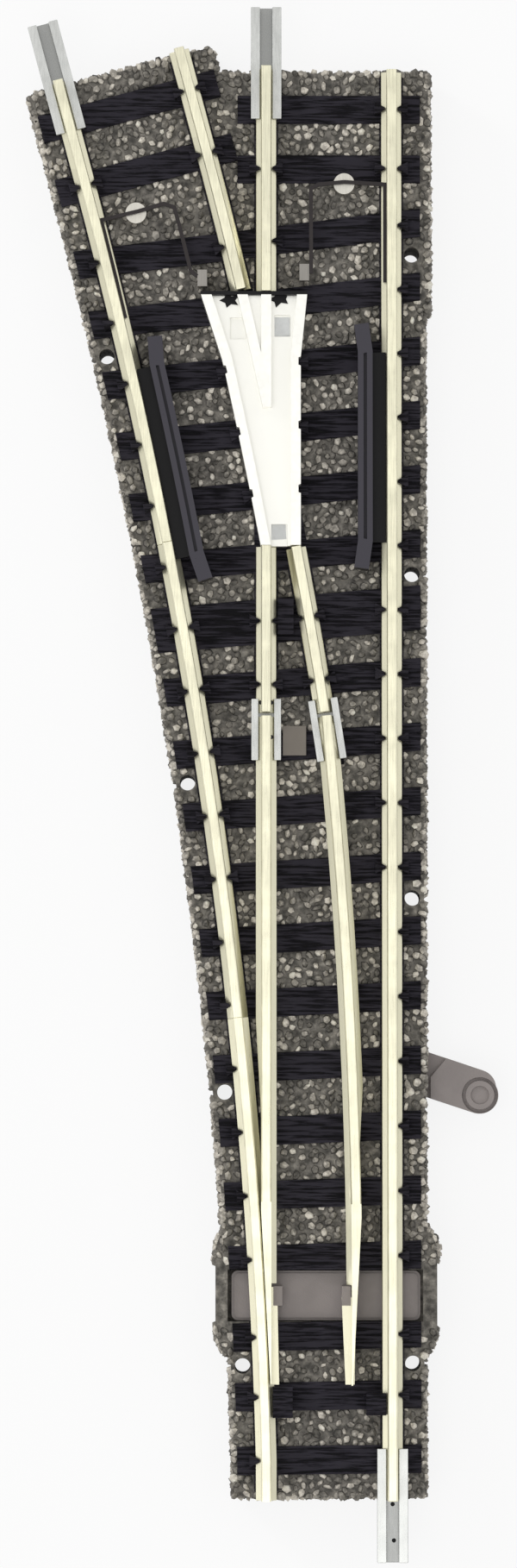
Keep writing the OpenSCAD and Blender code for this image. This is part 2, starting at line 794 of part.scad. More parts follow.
module joiner_room(w, length) {
    translate([-w / 2 - 0.02, -length / 2 - 0.02, rail_z - joiner_floor])
        cube([w + 0.04, length + 0.04, 5]);
}
module joiner_beds() {
    at_toe_joiner() joiner_room(joiner_w, joiner_len);
    at_straight_joiner() joiner_room(joiner_w, joiner_len);
    at_diverging_joiner() joiner_room(joiner_w, joiner_len);
    at_left_heel() joiner_room(heel_joiner_w, heel_joiner_len);
    at_right_heel() joiner_room(heel_joiner_w, heel_joiner_len);
}

outer_slack = 0.03;
module toe_joiner() {
    color(joiner_colour) at_toe_joiner() joiner(joiner_w, joiner_len, outer_slack);
}
module straight_joiner() {
    color(joiner_colour) at_straight_joiner() joiner(joiner_w, joiner_len, outer_slack);
}
module diverging_joiner() {
    color(joiner_colour) at_diverging_joiner() joiner(joiner_w, joiner_len, outer_slack);
}

// The heel joiners leave the blades room to turn
peg_y = tie_y + 1.45;
blade_angle = asin(throw / (heel_y - peg_y));
heel_slack = 0.05 + heel_joiner_len / 2 * tan(blade_angle);
module heel_joiner() {
    difference() {
        joiner(heel_joiner_w, heel_joiner_len, heel_slack);
        translate([0, 0, rail_z - 1]) cylinder(r = heel_pin_r, h = 2);
    }
}
module left_heel_joiner() color(joiner_colour) at_left_heel() heel_joiner();
module right_heel_joiner() color(joiner_colour) at_right_heel() heel_joiner();

heel_pin_z = rail_z - 1;
heel_pin_top = foot_edge + 0.1;
module heel_pins() {
    color(joiner_colour) for (p = [heel_left, heel_right])
        translate([p.x, p.y, heel_pin_z]) cylinder(r = heel_pin_r, h = rail_z + heel_pin_top - heel_pin_z);
}

module heel_plate() {
    left = heel_left.x + heel_joiner_w / 2 + 0.15;
    right = heel_right.x - heel_joiner_w / 2 - 0.5;
    color(ballast_colour) translate([left, heel_y - 2, sleeper_top]) cube([right - left, 2.3, 0.2]);
}

// ---- Blades ----

// What a blade's solid tip adds over its foot
module tip_section(x) {
    translate([x - head_w / 2, rail_z + foot_edge]) square([head_w, rail_h - foot_edge]);
}

// Notch for the tie bar's lug: x is where it starts in the foot
notch_gap = 0.22;
module lug_notch(x, w) {
    half = lug_len / 2 + notch_gap;
    translate([x, tie_y - half, rail_z - 1]) cube([w, 2 * half, 1 + foot_h + 2 * lug_rise]);
}

module heel_bore(p) {
    translate([p.x, p.y, rail_z - 1]) cylinder(r = heel_pin_r + pin_gap, h = 1 + heel_pin_top + 0.05);
}

lug_in = 0.25;
lug_rise = 0.2;
lug_out = 0.45;

// Peg under a blade's foot that the tie bar drives
peg_r = 0.2;
peg_drop = 1.5;
module peg(x) {
    translate([x, peg_y, rail_z - peg_drop]) cylinder(r = peg_r, h = peg_drop + foot_edge / 2);
}

// The left blade lies against the left stock rail, planed along a tangent of its curve
plane_angle = arc_angle(left_r, tip_y + tip_len / 2);
left_peg_x = -rail_x + foot_w / 2 - 0.26;
module left_blade_shape() {
    foot_side = -rail_x + foot_w / 2;
    difference() {
        union() {
            run(tie_y, heel_y + heel_tail) rail_section(-rail_x);
            run(tip_y, tip_y + tip_len) tip_section(-rail_x);
        }
        at_angle(plane_angle) {
            translate([left_r - 3, -tip_len, foot_top])
                cube([3 + head_w / 2 + blade_gap, 3 * tip_len, rail_h]);
            translate([left_r - 3, -tip_len, rail_z - 1])
                cube([3 + foot_w / 2 + blade_gap, 3 * tip_len, 1 + foot_h]);
        }
        lug_notch(foot_side - lug_in - notch_gap, 2);
        heel_bore(heel_left);
    }
    peg(left_peg_x);
}

// The right blade as it lies when closed against the right stock rail
right_foot_x = arc_x(right_r, tie_y) - foot_w / 2;
right_peg_x = rail_x - foot_w / 2 - blade_gap - 0.26;
module right_blade_shape() {
    a0 = arc_angle(right_r, tip_y);
    a1 = arc_angle(right_r, heel_y + heel_tail);
    tip_angle = tip_len / right_r * 180 / PI;
    difference() {
        union() {
            bend(arc_angle(right_r, tie_y), a1) rail_section(right_r);
            bend(a0, a0 + tip_angle) tip_section(right_r);
        }
        translate([rail_x - head_w / 2 - blade_gap, 0, foot_top]) cube([5, heel_y, rail_h]);
        translate([rail_x - foot_w / 2 - blade_gap, 0, rail_z - 1]) cube([5, heel_y, 1 + foot_h]);
        lug_notch(right_foot_x + lug_in + notch_gap - 2, 2);
        heel_bore(heel_right);
    }
    peg(right_peg_x);
}

module turned_about(p, angle) {
    translate([p.x, p.y, 0]) rotate(angle) translate([-p.x, -p.y, 0]) children();
}

module left_switch_blade() {
    color(rail_colour) translate([0, 0, blade_lift]) left_blade_shape();
}

// At rest the right blade stands open by the whole throw
module right_switch_blade() {
    color(rail_colour) translate([0, 0, blade_lift])
        turned_about(heel_right, -blade_angle) right_blade_shape();
}

// ---- Tie bar ----

// Y of a blade's peg when the blade is swung by an angle about its heel
function peg_swung_y(heel, x, angle) = heel.y - (heel.y - peg_y) * cos(angle) + (x - heel.x) * sin(angle);
peg_gap = 0.08;
module peg_slot(x, y) {
    for (end = [peg_y, y]) translate([x, end, 0]) cylinder(r = peg_r + peg_gap, h = 20);
}
tie_stud_r = 0.5;
tie_stud_x = lever_x - throw / 2;
module rounded_plate(x0, x1, y0, y1, r, h) {
    translate([x0 + r, y0, 0]) cube([x1 - x0 - 2 * r, y1 - y0, h]);
    translate([x0, y0 + r, 0]) cube([x1 - x0, y1 - y0 - 2 * r, h]);
    for (x = [x0 + r, x1 - r], y = [y0 + r, y1 - r]) translate([x, y, 0]) cylinder(r = r, h = h);
}

module tie_bar() {
    half = tie_w / 2;
    edge = 0.2;
    lug_top = foot_h + blade_lift + lug_rise;
    color(grey_colour) difference() {
        union() {
            translate([0, 0, tie_z])
                rounded_plate(tie_left, tie_right, tie_y - half, tie_y + half, 0.5, tie_t - 0.12);
            translate([0, 0, tie_z + tie_t / 2])
                rounded_plate(tie_left + edge, tie_right - edge, tie_y - half + edge,
                    tie_y + half - edge, 0.4, tie_t / 2);
            for (x = [-rail_x + foot_w / 2 - lug_in, right_foot_x - lug_out - throw])
                translate([x, tie_y - lug_len / 2, tie_z + tie_t / 2])
                    cube([lug_in + lug_out, lug_len, rail_z + lug_top - tie_z - tie_t / 2]);
            translate([tie_stud_x, tie_y, rocker_z])
                cylinder(r = tie_stud_r, h = tie_z + 0.1 - rocker_z);
        }
        peg_slot(left_peg_x, peg_swung_y(heel_left, left_peg_x, blade_angle));
        peg_slot(right_peg_x - throw, peg_swung_y(heel_right, right_peg_x, -blade_angle));
    }
}

// ---- Lever and rocker ----

rocker_z = cover_t + 0.15;
pin_head_z = rocker_z + rocker_t + 0.08;
pin_head_t = 0.25;
lever_z = pin_head_z + pin_head_t + 0.04;
lever_pin_top = mech_roof + 1.1;
rocker_pin_top = mech_roof + 0.8;

// The crank turns the lever's swing into the tie bar's throw
crank_r = throw / (2 * sin(lever_swing));
crank_y = lever_y + crank_r * cos(lever_swing);
rocker_y = (crank_y + tie_y) / 2;
rocker_arm = crank_y - rocker_y;
rocker_swing = atan(throw / 2 / rocker_arm);
crank_pin_r = 0.5;

module throw_rocker() {
    reach = rocker_arm + 0.1;
    slot = 0.3;
    color(joiner_colour) translate([lever_x, rocker_y, rocker_z]) rotate(-rocker_swing)
        difference() {
            union() {
                translate([-0.8, -reach, 0]) cube([1.6, 2 * reach, rocker_t]);
                cylinder(r = 1.2, h = rocker_t);
                for (s = [-1, 1]) translate([0, s * reach, 0]) {
                    translate([-1, -slot, 0]) cube([2, 2 * slot, rocker_t]);
                    for (t = [-slot, slot]) translate([0, t, 0]) cylinder(r = 1, h = rocker_t);
                }
                translate([0, -spring_arm, 0]) cylinder(r = spring_post_r, h = rocker_t + 0.5);
            }
            translate([0, 0, -1]) cylinder(r = pivot_r + pin_gap, h = 3);
            for (s = [-1, 1]) translate([0, s * reach, -1]) {
                pin = crank_pin_r + pin_gap;
                translate([-pin, -slot, 0]) cube([2 * pin, 2 * slot, 3]);
                for (t = [-slot, slot]) translate([0, t, 0]) cylinder(r = pin, h = 3);
            }
        }
}

// Plan of the lever about its pin, with the handle along X
knob_r = 1.45;
module lever_plan() {
    tip = lever_reach;
    circle(r = lever_half);
    polygon([[0, lever_half], [0, -lever_half], [tip, -knob_r], [tip, lever_half + 0.15],
        [tip - 0.4, lever_half + 0.2]]);
    translate([tip, 0]) circle(r = knob_r);
    translate([tip - 0.35, lever_half + 0.2 - knob_r]) circle(r = knob_r);
}

// The thick handle starts in a chevron whose sides face the wall at either end of the swing
module handle_plan() {
    start = (bed_half - lever_x + 0.55) / cos(lever_swing);
    back = tan(lever_swing) * 4;
    intersection() {
        lever_plan();
        polygon([[start, 0], [start + back, 4], [20, 4], [20, -4], [start + back, -4]]);
    }
}

module throw_lever() {
    handle_top = lever_z + lever_t + 0.55;
    color(grey_colour) translate([lever_x, lever_y, 0]) rotate(-lever_swing) {
        difference() {
            union() {
                translate([0, 0, lever_z]) linear_extrude(lever_t) lever_plan();
                translate([-0.8, 0, lever_z]) cube([1.6, crank_r, lever_t]);
                translate([0, crank_r, lever_z]) cylinder(r = 0.8, h = lever_t);
                translate([0, 0, lever_z - 0.4]) linear_extrude(handle_top - lever_z + 0.4)
                    handle_plan();
                translate([lever_reach, 0, handle_top - 0.6]) cylinder(r = 1.12, h = 0.85);
            }
            translate([lever_reach, 0, handle_top - 0.35]) difference() {
                cylinder(r = 1.4, h = 2);
                translate([0, 0, -1]) cylinder(r = 1.12, h = 5);
            }
            translate([lever_reach, 0, handle_top]) cylinder(r = 0.72, h = 2);
            translate([0, 0, -1]) cylinder(r = pivot_r + pin_gap, h = 10);
        }
        translate([0, crank_r, rocker_z]) cylinder(r = crank_pin_r, h = lever_z - rocker_z + 0.1);
    }
}

module lever_pivot_pin() {
    color(brass_colour) translate([lever_x, lever_y, 0]) {
        translate([0, 0, pin_head_z]) cylinder(r = 1, h = pin_head_t);
        translate([0, 0, pin_head_z]) cylinder(r = pivot_r, h = lever_pin_top - pin_head_z);
    }
}

module rocker_pivot_pin() {
    color(brass_colour) translate([lever_x, rocker_y, 0.1])
        cylinder(r = pivot_r, h = rocker_pin_top - 0.1);
}

// The toggle spring bows between a post of the rocker and one under the bed's roof
spring_z = rocker_z + rocker_t + 0.1;
spring_arm = 4.6;
spring_post_r = 0.25;
spring_from = [lever_x - spring_arm * sin(rocker_swing), rocker_y - spring_arm * cos(rocker_swing)];
spring_to = [lever_x, rocker_y - spring_arm - 3.2];
module toggle_spring() {
    chord = spring_to - spring_from;
    span = norm(chord);
    bow = 2.4;
    half_angle = asin(span / 2 / bow);
    eye = spring_post_r + 0.2;
    t = 0.25;
    color(joiner_colour) translate([spring_from.x, spring_from.y, spring_z]) rotate(atan2(chord.y, chord.x))
        difference() {
            union() {
                for (x = [0, span]) translate([x, 0, 0]) cylinder(r = eye, h = t);
                translate([span / 2, -bow * cos(half_angle), 0]) rotate(90 - half_angle)
                    rotate_extrude(angle = 2 * half_angle) translate([bow - 0.1, 0]) square([0.2, t]);
            }
            for (x = [0, span]) translate([x, 0, -1]) cylinder(r = spring_post_r + 0.08, h = 3);
        }
}

// ---- Cover ----

module at_cover_screws() {
    inset = 1.25;
    for (y = [cover_y[0] + inset, cover_y[1] - inset]) {
        translate([cover_x[0] + inset, y, 0]) children();
        translate([cover_x[1] - inset, y, 0]) children();
    }
}

screw_len = 2.6;
cover_gap = 0.05;
module bottom_cover() {
    color(black_colour) difference() {
        translate([cover_x[0] + cover_gap, cover_y[0] + cover_gap, 0])
            cube([cover_x[1] - cover_x[0] - 2 * cover_gap,
                cover_y[1] - cover_y[0] - 2 * cover_gap, cover_t]);
        translate([lever_x, rocker_y, 0.1]) cylinder(r = pivot_r, h = 5);
        at_cover_screws() {
            translate([0, 0, -1]) cylinder(r = screw_r, h = 5);
            translate([0, 0, -1]) cylinder(r = screw_head_r, h = 1.4);
        }
    }
}

module cover_screws() {
    color(joiner_colour) at_cover_screws() difference() {
        union() {
            translate([0, 0, 0.05]) cylinder(r = screw_head_r, h = 0.35);
            translate([0, 0, 0.05]) cylinder(r = screw_r, h = screw_len - 0.05);
        }
        translate([-1.5, -0.12, -0.5]) cube([3, 0.24, 0.7]);
    }
}

// ---- Feed ----

stud_sink = 0.8;
stud_points = [[-15.1, 100], [1.2, 102.3]];
clip_z = foot_top + 0.02;
module feed_studs() {
    color(cast_colour) for (p = stud_points)
        translate([p.x, p.y, bed_h - stud_sink]) cylinder(r = stud_r, h = clip_z - bed_h + stud_sink);
}

// Square tabs that the far ends of the clips touch
tab = [0.75, 1.3];
tab_points = [[-9.9, 94.85], [-1.92, 95.3]];
module feed_tabs() {
    color(grey_colour) for (p = tab_points)
        translate([p.x - tab.x / 2, p.y - tab.y / 2, bed_h - stud_sink])
            cube([tab.x, tab.y, clip_z + clip_w - bed_h + stud_sink]);
}

// A flat wire through points, mitred at its corners
function unit(v) = v / norm(v);
function across(v) = [-v.y, v.x];
function mitre(points, i) =
    let(last = len(points) - 1,
        before = unit(points[max(i, 1)] - points[max(i, 1) - 1]),
        after = unit(points[min(i + 1, last)] - points[min(i + 1, last) - 1]),
        middle = across(unit(before + after)))
    middle / (middle * across(before));
module wire(points) {
    last = len(points) - 1;
    left = [for (i = [0:last]) points[i] + clip_w / 2 * mitre(points, i)];
    right = [for (i = [last:-1:0]) points[i] - clip_w / 2 * mitre(points, i)];
    translate([0, 0, clip_z]) linear_extrude(clip_w) polygon(concat(left, right));
}

// The clip lies on the foot of its stock rail, beside the web
clip_u = web_w / 2 + clip_w / 2 + 0.1;
module left_feed_clip() {
    near = 91.7;
    far = 99.4;
    rail_line = [for (y = [near, (near + far) / 2, far]) [arc_x(left_r + clip_u, y), y]];
    route = [[-14.9, 100.1], [-12.9, 100.7], [-12.1, 100.4], [-11.7, 99], [-10.8, 95.4], [-10.3, 95]];
    color(black_colour) wire(concat(rail_line, route));
}

module right_feed_clip() {
    rail_line = [[rail_x - clip_u, 94.5], [rail_x - clip_u, 102.2]];
    route = [[1.2, 102.4], [-0.8, 102.2], [-1.4, 101.9], [-1.38, 95.2]];
    color(black_colour) wire(concat(rail_line, route));
}

// Strips under the roof that feed each closure rail from its stock rail
jumper_post_r = 0.3;
jumper_w = 1.2;
jumper_t = 0.3;
strip_gap = 0.05;
jumper_y = [51.4, 62.4];
jumper_strips = [
    [[arc_x(left_r, jumper_y[0]), jumper_y[0]], [-rail_x, jumper_y[1]]],
    [[rail_x, jumper_y[0]], [arc_x(right_r, jumper_y[1]), jumper_y[1]]]];
module jumper_plan(ends, w) {
    run = ends[1] - ends[0];
    translate(ends[0]) rotate(atan2(run.y, run.x)) translate([0, -w / 2]) square([norm(run), w]);
    for (p = ends) translate(p) circle(r = w / 2);
}

module jumper_strip(ends) {
    color(brass_colour) {
        translate([0, 0, roof_z - jumper_t]) linear_extrude(jumper_t) jumper_plan(ends, jumper_w);
        for (p = ends) translate([p.x, p.y, roof_z - jumper_t])
            cylinder(r = jumper_post_r, h = rail_z - roof_z + jumper_t);
    }
}
module left_jumper_strip() jumper_strip(jumper_strips[0]);
module right_jumper_strip() jumper_strip(jumper_strips[1]);

ballast_bed();
sleeper_grid();
toe_sleepers();
left_stock_rail();
left_stock_rail_middle();
left_stock_rail_far();
right_stock_rail();
left_closure_rail();
right_closure_rail();
frog_casting();
frog_insulator();
straight_inner_rail();
diverging_inner_rail();
left_check_rail();
right_check_rail();
toe_joiner();
straight_joiner();
diverging_joiner();
left_heel_joiner();
right_heel_joiner();
heel_pins();
heel_plate();
left_feed_clip();
right_feed_clip();
feed_studs();
feed_tabs();
left_jumper_strip();
right_jumper_strip();
bottom_cover();
cover_screws();
lever_pivot_pin();
rocker_pivot_pin();
left_switch_blade();
right_switch_blade();
tie_bar();
throw_rocker();
throw_lever();
toggle_spring();
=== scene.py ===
"""Looks for a model turnout switch: ballast, sleepers, rails, frog, throw and feed pieces."""

import json
import math

import bmesh
import bpy
import numpy as np
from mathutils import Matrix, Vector
from mathutils.bvhtree import BVHTree


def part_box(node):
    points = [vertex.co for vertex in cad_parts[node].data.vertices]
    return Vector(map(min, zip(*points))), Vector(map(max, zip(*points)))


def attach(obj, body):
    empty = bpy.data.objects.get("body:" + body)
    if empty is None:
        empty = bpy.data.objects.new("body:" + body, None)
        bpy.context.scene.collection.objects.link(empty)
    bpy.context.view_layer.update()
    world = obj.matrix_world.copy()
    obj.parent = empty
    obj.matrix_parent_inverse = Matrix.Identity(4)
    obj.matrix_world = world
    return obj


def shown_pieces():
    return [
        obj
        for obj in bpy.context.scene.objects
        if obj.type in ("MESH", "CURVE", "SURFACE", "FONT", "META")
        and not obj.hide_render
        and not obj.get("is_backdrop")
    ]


bl_info = {
    "name": "Model turnout switch",
    "version": (1, 0, 0),
    "blender": (4, 5, 0),
    "location": "View3D > Sidebar > Turnout",
    "description": "Dresses a ballasted model turnout with its materials, stones and stage",
    "category": "Object",
}

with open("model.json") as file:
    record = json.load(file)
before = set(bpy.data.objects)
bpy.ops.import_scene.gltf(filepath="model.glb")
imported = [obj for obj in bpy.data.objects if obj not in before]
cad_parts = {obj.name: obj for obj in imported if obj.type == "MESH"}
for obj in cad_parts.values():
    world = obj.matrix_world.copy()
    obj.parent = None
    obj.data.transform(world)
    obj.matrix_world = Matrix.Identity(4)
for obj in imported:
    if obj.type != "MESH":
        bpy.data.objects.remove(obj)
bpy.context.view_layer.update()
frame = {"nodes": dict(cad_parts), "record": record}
NODES = frame["nodes"]
MM = 0.001

# The photograph's frame, scaled to a long side of 1568, and where named things show in it
FRAME_W, FRAME_H = 517.5, 1568.0
POINTS = {
    "object_left": (25.7, None),
    "object_right": (498.8, None),
    "object_top": (None, 7.1),
    "object_bottom": (None, 1563.0),
    "lever_tip": (497.9, 1101.5),
    "tie_bar_left": (231.7, 1295.4),
    "left_stud": (136.4, 214.3),
    "right_stud": (344.4, 185.1),
    "left_cap": (229.9, 300.6),
    "right_cap": (279.9, 299.3),
    "flat_right": (281.2, 327.6),
    "flat_throat": (278.4, 530.6),
    "heel_dimple_1": (261.3, 702.5),
    "heel_dimple_2": (271.6, 702.5),
    "heel_dimple_4": (271.6, 737.1),
    "toe_dimple_3": (393.0, 1504.1),
    "toe_dimple_4": (394.3, 1540.4),
    "toe_joiner_end": (393.0, 1562.3),
}


# ---- Shader expressions ----

class Socket:
    """A shader socket that takes part in Python expressions."""

    def __init__(self, tree, socket):
        self.tree = tree
        self.socket = socket

    def _math(self, operation, other, swap=False):
        first, second = (other, self) if swap else (self, other)
        return self.tree.node("ShaderNodeMath", {"operation": operation}, [first, second])

    def __add__(self, other):
        return self._math("ADD", other)

    def __rsub__(self, other):
        return self._math("SUBTRACT", other, swap=True)

    def __mul__(self, other):
        return self._math("MULTIPLY", other)

    def over(self, low, high):
        """0 below low, 1 above high, smooth between."""
        return self.tree.node(
            "ShaderNodeMapRange", {"interpolation_type": "SMOOTHSTEP"},
            {"Value": self, "From Min": low, "From Max": high}, "Result")


class Finish:
    """A material whose nodes are written as expressions."""

    def __init__(self, name):
        old = bpy.data.materials.get(name)
        if old:
            bpy.data.materials.remove(old)
        self.material = bpy.data.materials.new(name)
        self.material.use_nodes = True
        self.nodes = self.material.node_tree.nodes
        self.links = self.material.node_tree.links
        self.shader = self.nodes["Principled BSDF"]

    def node(self, kind, settings=None, values=None, output=0):
        """A new node with its settings and its inputs' values, as one of its outputs."""
        made = self.nodes.new(kind)
        for key, value in (settings or {}).items():
            setattr(made, key, value)
        pairs = values.items() if isinstance(values, dict) else enumerate(values or [])
        for key, value in pairs:
            self.put(made.inputs[key], value)
        return Socket(self, made.outputs[output])

    def put(self, target, value):
        """Links a socket to an input, or sets the input's own value."""
        if isinstance(value, Socket):
            self.links.new(value.socket, target)
        elif isinstance(value, (tuple, list)) and target.type == "RGBA":
            target.default_value = (*value[:3], 1.0)
        else:
            target.default_value = value

    def place(self, scale=(1.0, 1.0, 1.0)):
        """Object coordinates in millimetres, scaled along each axis."""
        coordinates = self.node("ShaderNodeTexCoord", output="Object")
        size = tuple(s / MM for s in scale)
        return self.node("ShaderNodeMapping", None, {"Vector": coordinates, "Scale": size})

    def height(self):
        """Height over the base in millimetres."""
        return self.node("ShaderNodeSeparateXYZ", None, [self.place()], 2)

    def noise(self, where, scale, detail=3.0, roughness=0.55):
        """Fractal noise around 0.5."""
        return self.node("ShaderNodeTexNoise", None, {
            "Vector": where, "Scale": scale, "Detail": detail, "Roughness": roughness}, "Fac")

    def cells(self, where, scale):
        """How far a place is from its cell's centre."""
        return self.node("ShaderNodeTexVoronoi", None, {
            "Vector": where, "Scale": scale}, "Distance")

    def mix(self, amount, first, second):
        """First colour at 0, second colour at 1."""
        return self.node("ShaderNodeMix", {"data_type": "RGBA"}, {
            "Factor": amount, 6: first, 7: second}, 2)

    def ramp(self, value, stops):
        """Colour for a value, from (position, colour) stops."""
        made = self.nodes.new("ShaderNodeValToRGB")
        elements = made.color_ramp.elements
        while len(elements) < len(stops):
            elements.new(0.5)
        for element, (at, colour) in zip(elements, stops):
            element.position = at
            element.color = (*colour, 1.0)
        self.put(made.inputs[0], value)
        return Socket(self, made.outputs[0])

    def attribute(self, name):
        """A number that the mesh carries."""
        return self.node("ShaderNodeAttribute", {"attribute_name": name}, None, "Fac")

    def bump(self, height, distance, strength):
        """Normal of a relief whose height is given in millimetres."""
        return self.node("ShaderNodeBump", None, {
            "Height": height, "Distance": distance * MM, "Strength": strength}, "Normal")

    def finish(self, **sockets):
        """Sets the shader's sockets, named in lower case, and gives the material."""
        for name, value in sockets.items():
            title = name.replace("_", " ").title().replace("Ior", "IOR")
            self.put(self.shader.inputs[title], value)
        return self.material


def paint(material, *names):
    """Gives CAD nodes one material."""
    for name in names:
        slots = NODES[name].data.materials
        slots.clear()
        slots.append(material)


# Corners nearer than this, in millimetres, are one, and edges turned more are rounded
WELD_GAP = 0.002
EDGE_ANGLE = math.radians(35)


def soften(width, *names):
    """Small rounded edges, so that corners catch the light as moulded or drawn ones do."""
    for name in names:
        weld = NODES[name].modifiers.new("weld", "WELD")
        weld.merge_threshold = WELD_GAP * MM
        bevel = NODES[name].modifiers.new("edges", "BEVEL")
        bevel.limit_method, bevel.angle_limit = "ANGLE", EDGE_ANGLE
        bevel.width, bevel.segments = width * MM, 2
        bevel.harden_normals = True


def linear(red, green, blue):
    """Linear values of a colour written as it shows on screen, 0 to 255."""
    return tuple(((c / 255 + 0.055) / 1.055) ** 2.4 if c > 10 else c / 255 / 12.92
                 for c in (red, green, blue))


# ---- Meshes ----

def new_piece(name, mesh, body, slot, *materials):
    """A named piece that rides on a body."""
    old = bpy.data.objects.get(name)
    if old:
        bpy.data.objects.remove(old)
    piece = bpy.data.objects.new(name, mesh)
    bpy.context.scene.collection.objects.link(piece)
    for material in materials:
        piece.data.materials.append(material)
    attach(piece, body)
    return piece


def triangles_of(name):
    """Corner positions of a CAD node's triangles, in millimetres."""
    mesh = NODES[name].data
    mesh.calc_loop_triangles()
    points = np.array([v.co for v in mesh.vertices]) / MM
    return points[np.array([t.vertices for t in mesh.loop_triangles])]


# Random places tried for each place that the spacing has room for
SCATTER_TRIES = 3.2


def scatter(tris, spacing, rng):
    """Points spread over triangles, none nearer to another than the spacing."""
    edges_a, edges_b = tris[:, 1] - tris[:, 0], tris[:, 2] - tris[:, 0]
    areas = np.linalg.norm(np.cross(edges_a, edges_b), axis=1) / 2
    wanted = int(areas.sum() / spacing ** 2 * SCATTER_TRIES)
    chosen = rng.choice(len(tris), wanted, p=areas / areas.sum())
    u, v = rng.random(wanted), rng.random(wanted)
    flip = u + v > 1
    u[flip], v[flip] = 1 - u[flip], 1 - v[flip]
    spots = tris[chosen, 0] + u[:, None] * edges_a[chosen] + v[:, None] * edges_b[chosen]
    grid, kept = {}, []
    for spot in spots:
        cell = tuple(np.floor(spot / spacing).astype(int))
        near = [grid[c] for dx in (-1, 0, 1) for dy in (-1, 0, 1) for dz in (-1, 0, 1)
                if (c := (cell[0] + dx, cell[1] + dy, cell[2] + dz)) in grid]
        if all(np.sum((spot - other) ** 2) >= spacing ** 2 for other in near):
            grid[cell] = spot
            kept.append(spot)
    return np.array(kept)


def middle(name):
    """Centre of a CAD node's box, in metres."""
    low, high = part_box(name)
    return (low + high) / 2


# ---- Settings ----

class TurnoutBallast(bpy.types.PropertyGroup):
    """Ballast settings"""
    stone_size: bpy.props.FloatProperty(
        name="Stone size", description="Mean radius of a ballast stone",
        default=0.4 * MM, unit="LENGTH")
    stone_spacing: bpy.props.FloatProperty(
        name="Stone spacing", description="Least distance between two stones",
        default=0.5 * MM, unit="LENGTH")
    seed: bpy.props.IntProperty(
        name="Seed", description="Seed of the stones' places and turns", default=7)
    colour: bpy.props.FloatVectorProperty(
        name="Colour", description="Middle colour of the ballast", subtype="COLOR",
        default=linear(118, 114, 107))


class TurnoutMetal(bpy.types.PropertyGroup):
    """Colours of the metal pieces"""
    rail: bpy.props.FloatVectorProperty(
        name="Rail", description="Colour of the nickel silver rails", subtype="COLOR",
        default=linear(244, 240, 212))
    casting: bpy.props.FloatVectorProperty(
        name="Casting", description="Colour of the frog casting", subtype="COLOR",
        default=linear(248, 247, 240))
    joiner: bpy.props.FloatVectorProperty(
        name="Joiner", description="Colour of the rail joiners", subtype="COLOR",
        default=linear(208, 209, 206))


class TurnoutPlastic(bpy.types.PropertyGroup):
    """Colours of the plastic pieces"""
    sleeper: bpy.props.FloatVectorProperty(
        name="Sleeper", description="Colour of the sleepers", subtype="COLOR",
        default=linear(33, 31, 37))
    throw: bpy.props.FloatVectorProperty(
        name="Throw", description="Colour of the tie bar and the lever", subtype="COLOR",
        default=linear(140, 132, 129))


class TurnoutStage(bpy.types.PropertyGroup):
    """Camera and lamps"""
    camera_height: bpy.props.FloatProperty(
        name="Camera height", description="Distance from the camera to the track",
        default=0.5, unit="LENGTH")
    tilt: bpy.props.FloatProperty(
        name="Tilt", description="How far the camera leans from straight down",
        default=math.radians(3), subtype="ANGLE")
    lamp_power: bpy.props.FloatProperty(
        name="Lamp power", description="Power of the overhead lamp", default=0.5, unit="POWER")


# ---- Pieces ----

METALLIC = 0.75
# Two heights between which each metal brightens out of its painted shade, and the share of its
# colour left below them as painted shade
RAIL_PAINTED_SHADE = (5.55, 6.6, 0.72)
FROG_PAINTED_SHADE = (6.1, 6.75, 0.93)
JOINER_PAINTED_SHADE = (5.15, 5.7, 0.5)
# Two heights between which the check rails pale into a painted highlight, and their colour above
# them
CHECK_RAIL_PAINTED_HIGHLIGHT = (6.2, 7.05, linear(66, 64, 71))
# Width of the rounded edges, in millimetres
EDGES = {"rail": 0.06, "frog": 0.09, "joiner": 0.05, "sleeper": 0.05, "check_rail": 0.14,
         "throw": 0.12}


def metal_finish(name, colour, roughness=0.3, streak=(14.0, 0.5, 3.0), dull=0.82, depth=None):
    """Bright worked metal with fine streaks and slight stains. depth holds two heights, in
    millimetres, and the share of its colour that is left below them as painted shade on the lower
    parts."""
    f = Finish(name)
    lines = f.noise(f.place(streak), 1.0, 4.0)
    stain = f.noise(f.place(), 0.35, 3.0)
    shade = stain.over(0.35, 0.65) * 0.5 + lines.over(0.3, 0.7) * 0.5
    colour = tuple(colour)
    base = f.mix(shade, tuple(c * dull for c in colour), colour)
    # Painted shade: below the given heights the metal keeps only a share of its colour
    if depth:
        low, high, dark = depth
        base = f.mix(f.height().over(low, high), tuple(c * dark for c in colour), base)
    return f.finish(base_color=base, metallic=METALLIC, roughness=lines * 0.2 + (roughness - 0.1),
                    normal=f.bump(lines, 0.006, 0.4))


def plastic_finish(name, colour, roughness=0.5, grain=9.0, depth=0.01, vary=0.15, shine=0.5,
                   top=None):
    """Moulded plastic with a fine spark texture and slight clouds. top holds two heights, in
    millimetres, and the colour that it has above them, a painted highlight on the upper parts."""
    f = Finish(name)
    fine = f.noise(f.place(), grain, 2.0)
    cloud = f.noise(f.place(), 0.5, 3.0)
    colour = tuple(colour)
    base = f.mix(cloud.over(0.3, 0.7), tuple(c * (1 - vary) for c in colour),
                 tuple(min(1.0, c * (1 + vary)) for c in colour))
    # Painted highlight: above the given heights the plastic turns to a paler colour
    if top:
        low, high, pale = top
        base = f.mix(f.height().over(low, high), base, pale)
    return f.finish(base_color=base, roughness=fine * 0.15 + (roughness - 0.07),
                    specular_ior_level=shine, normal=f.bump(fine, depth, 0.5))


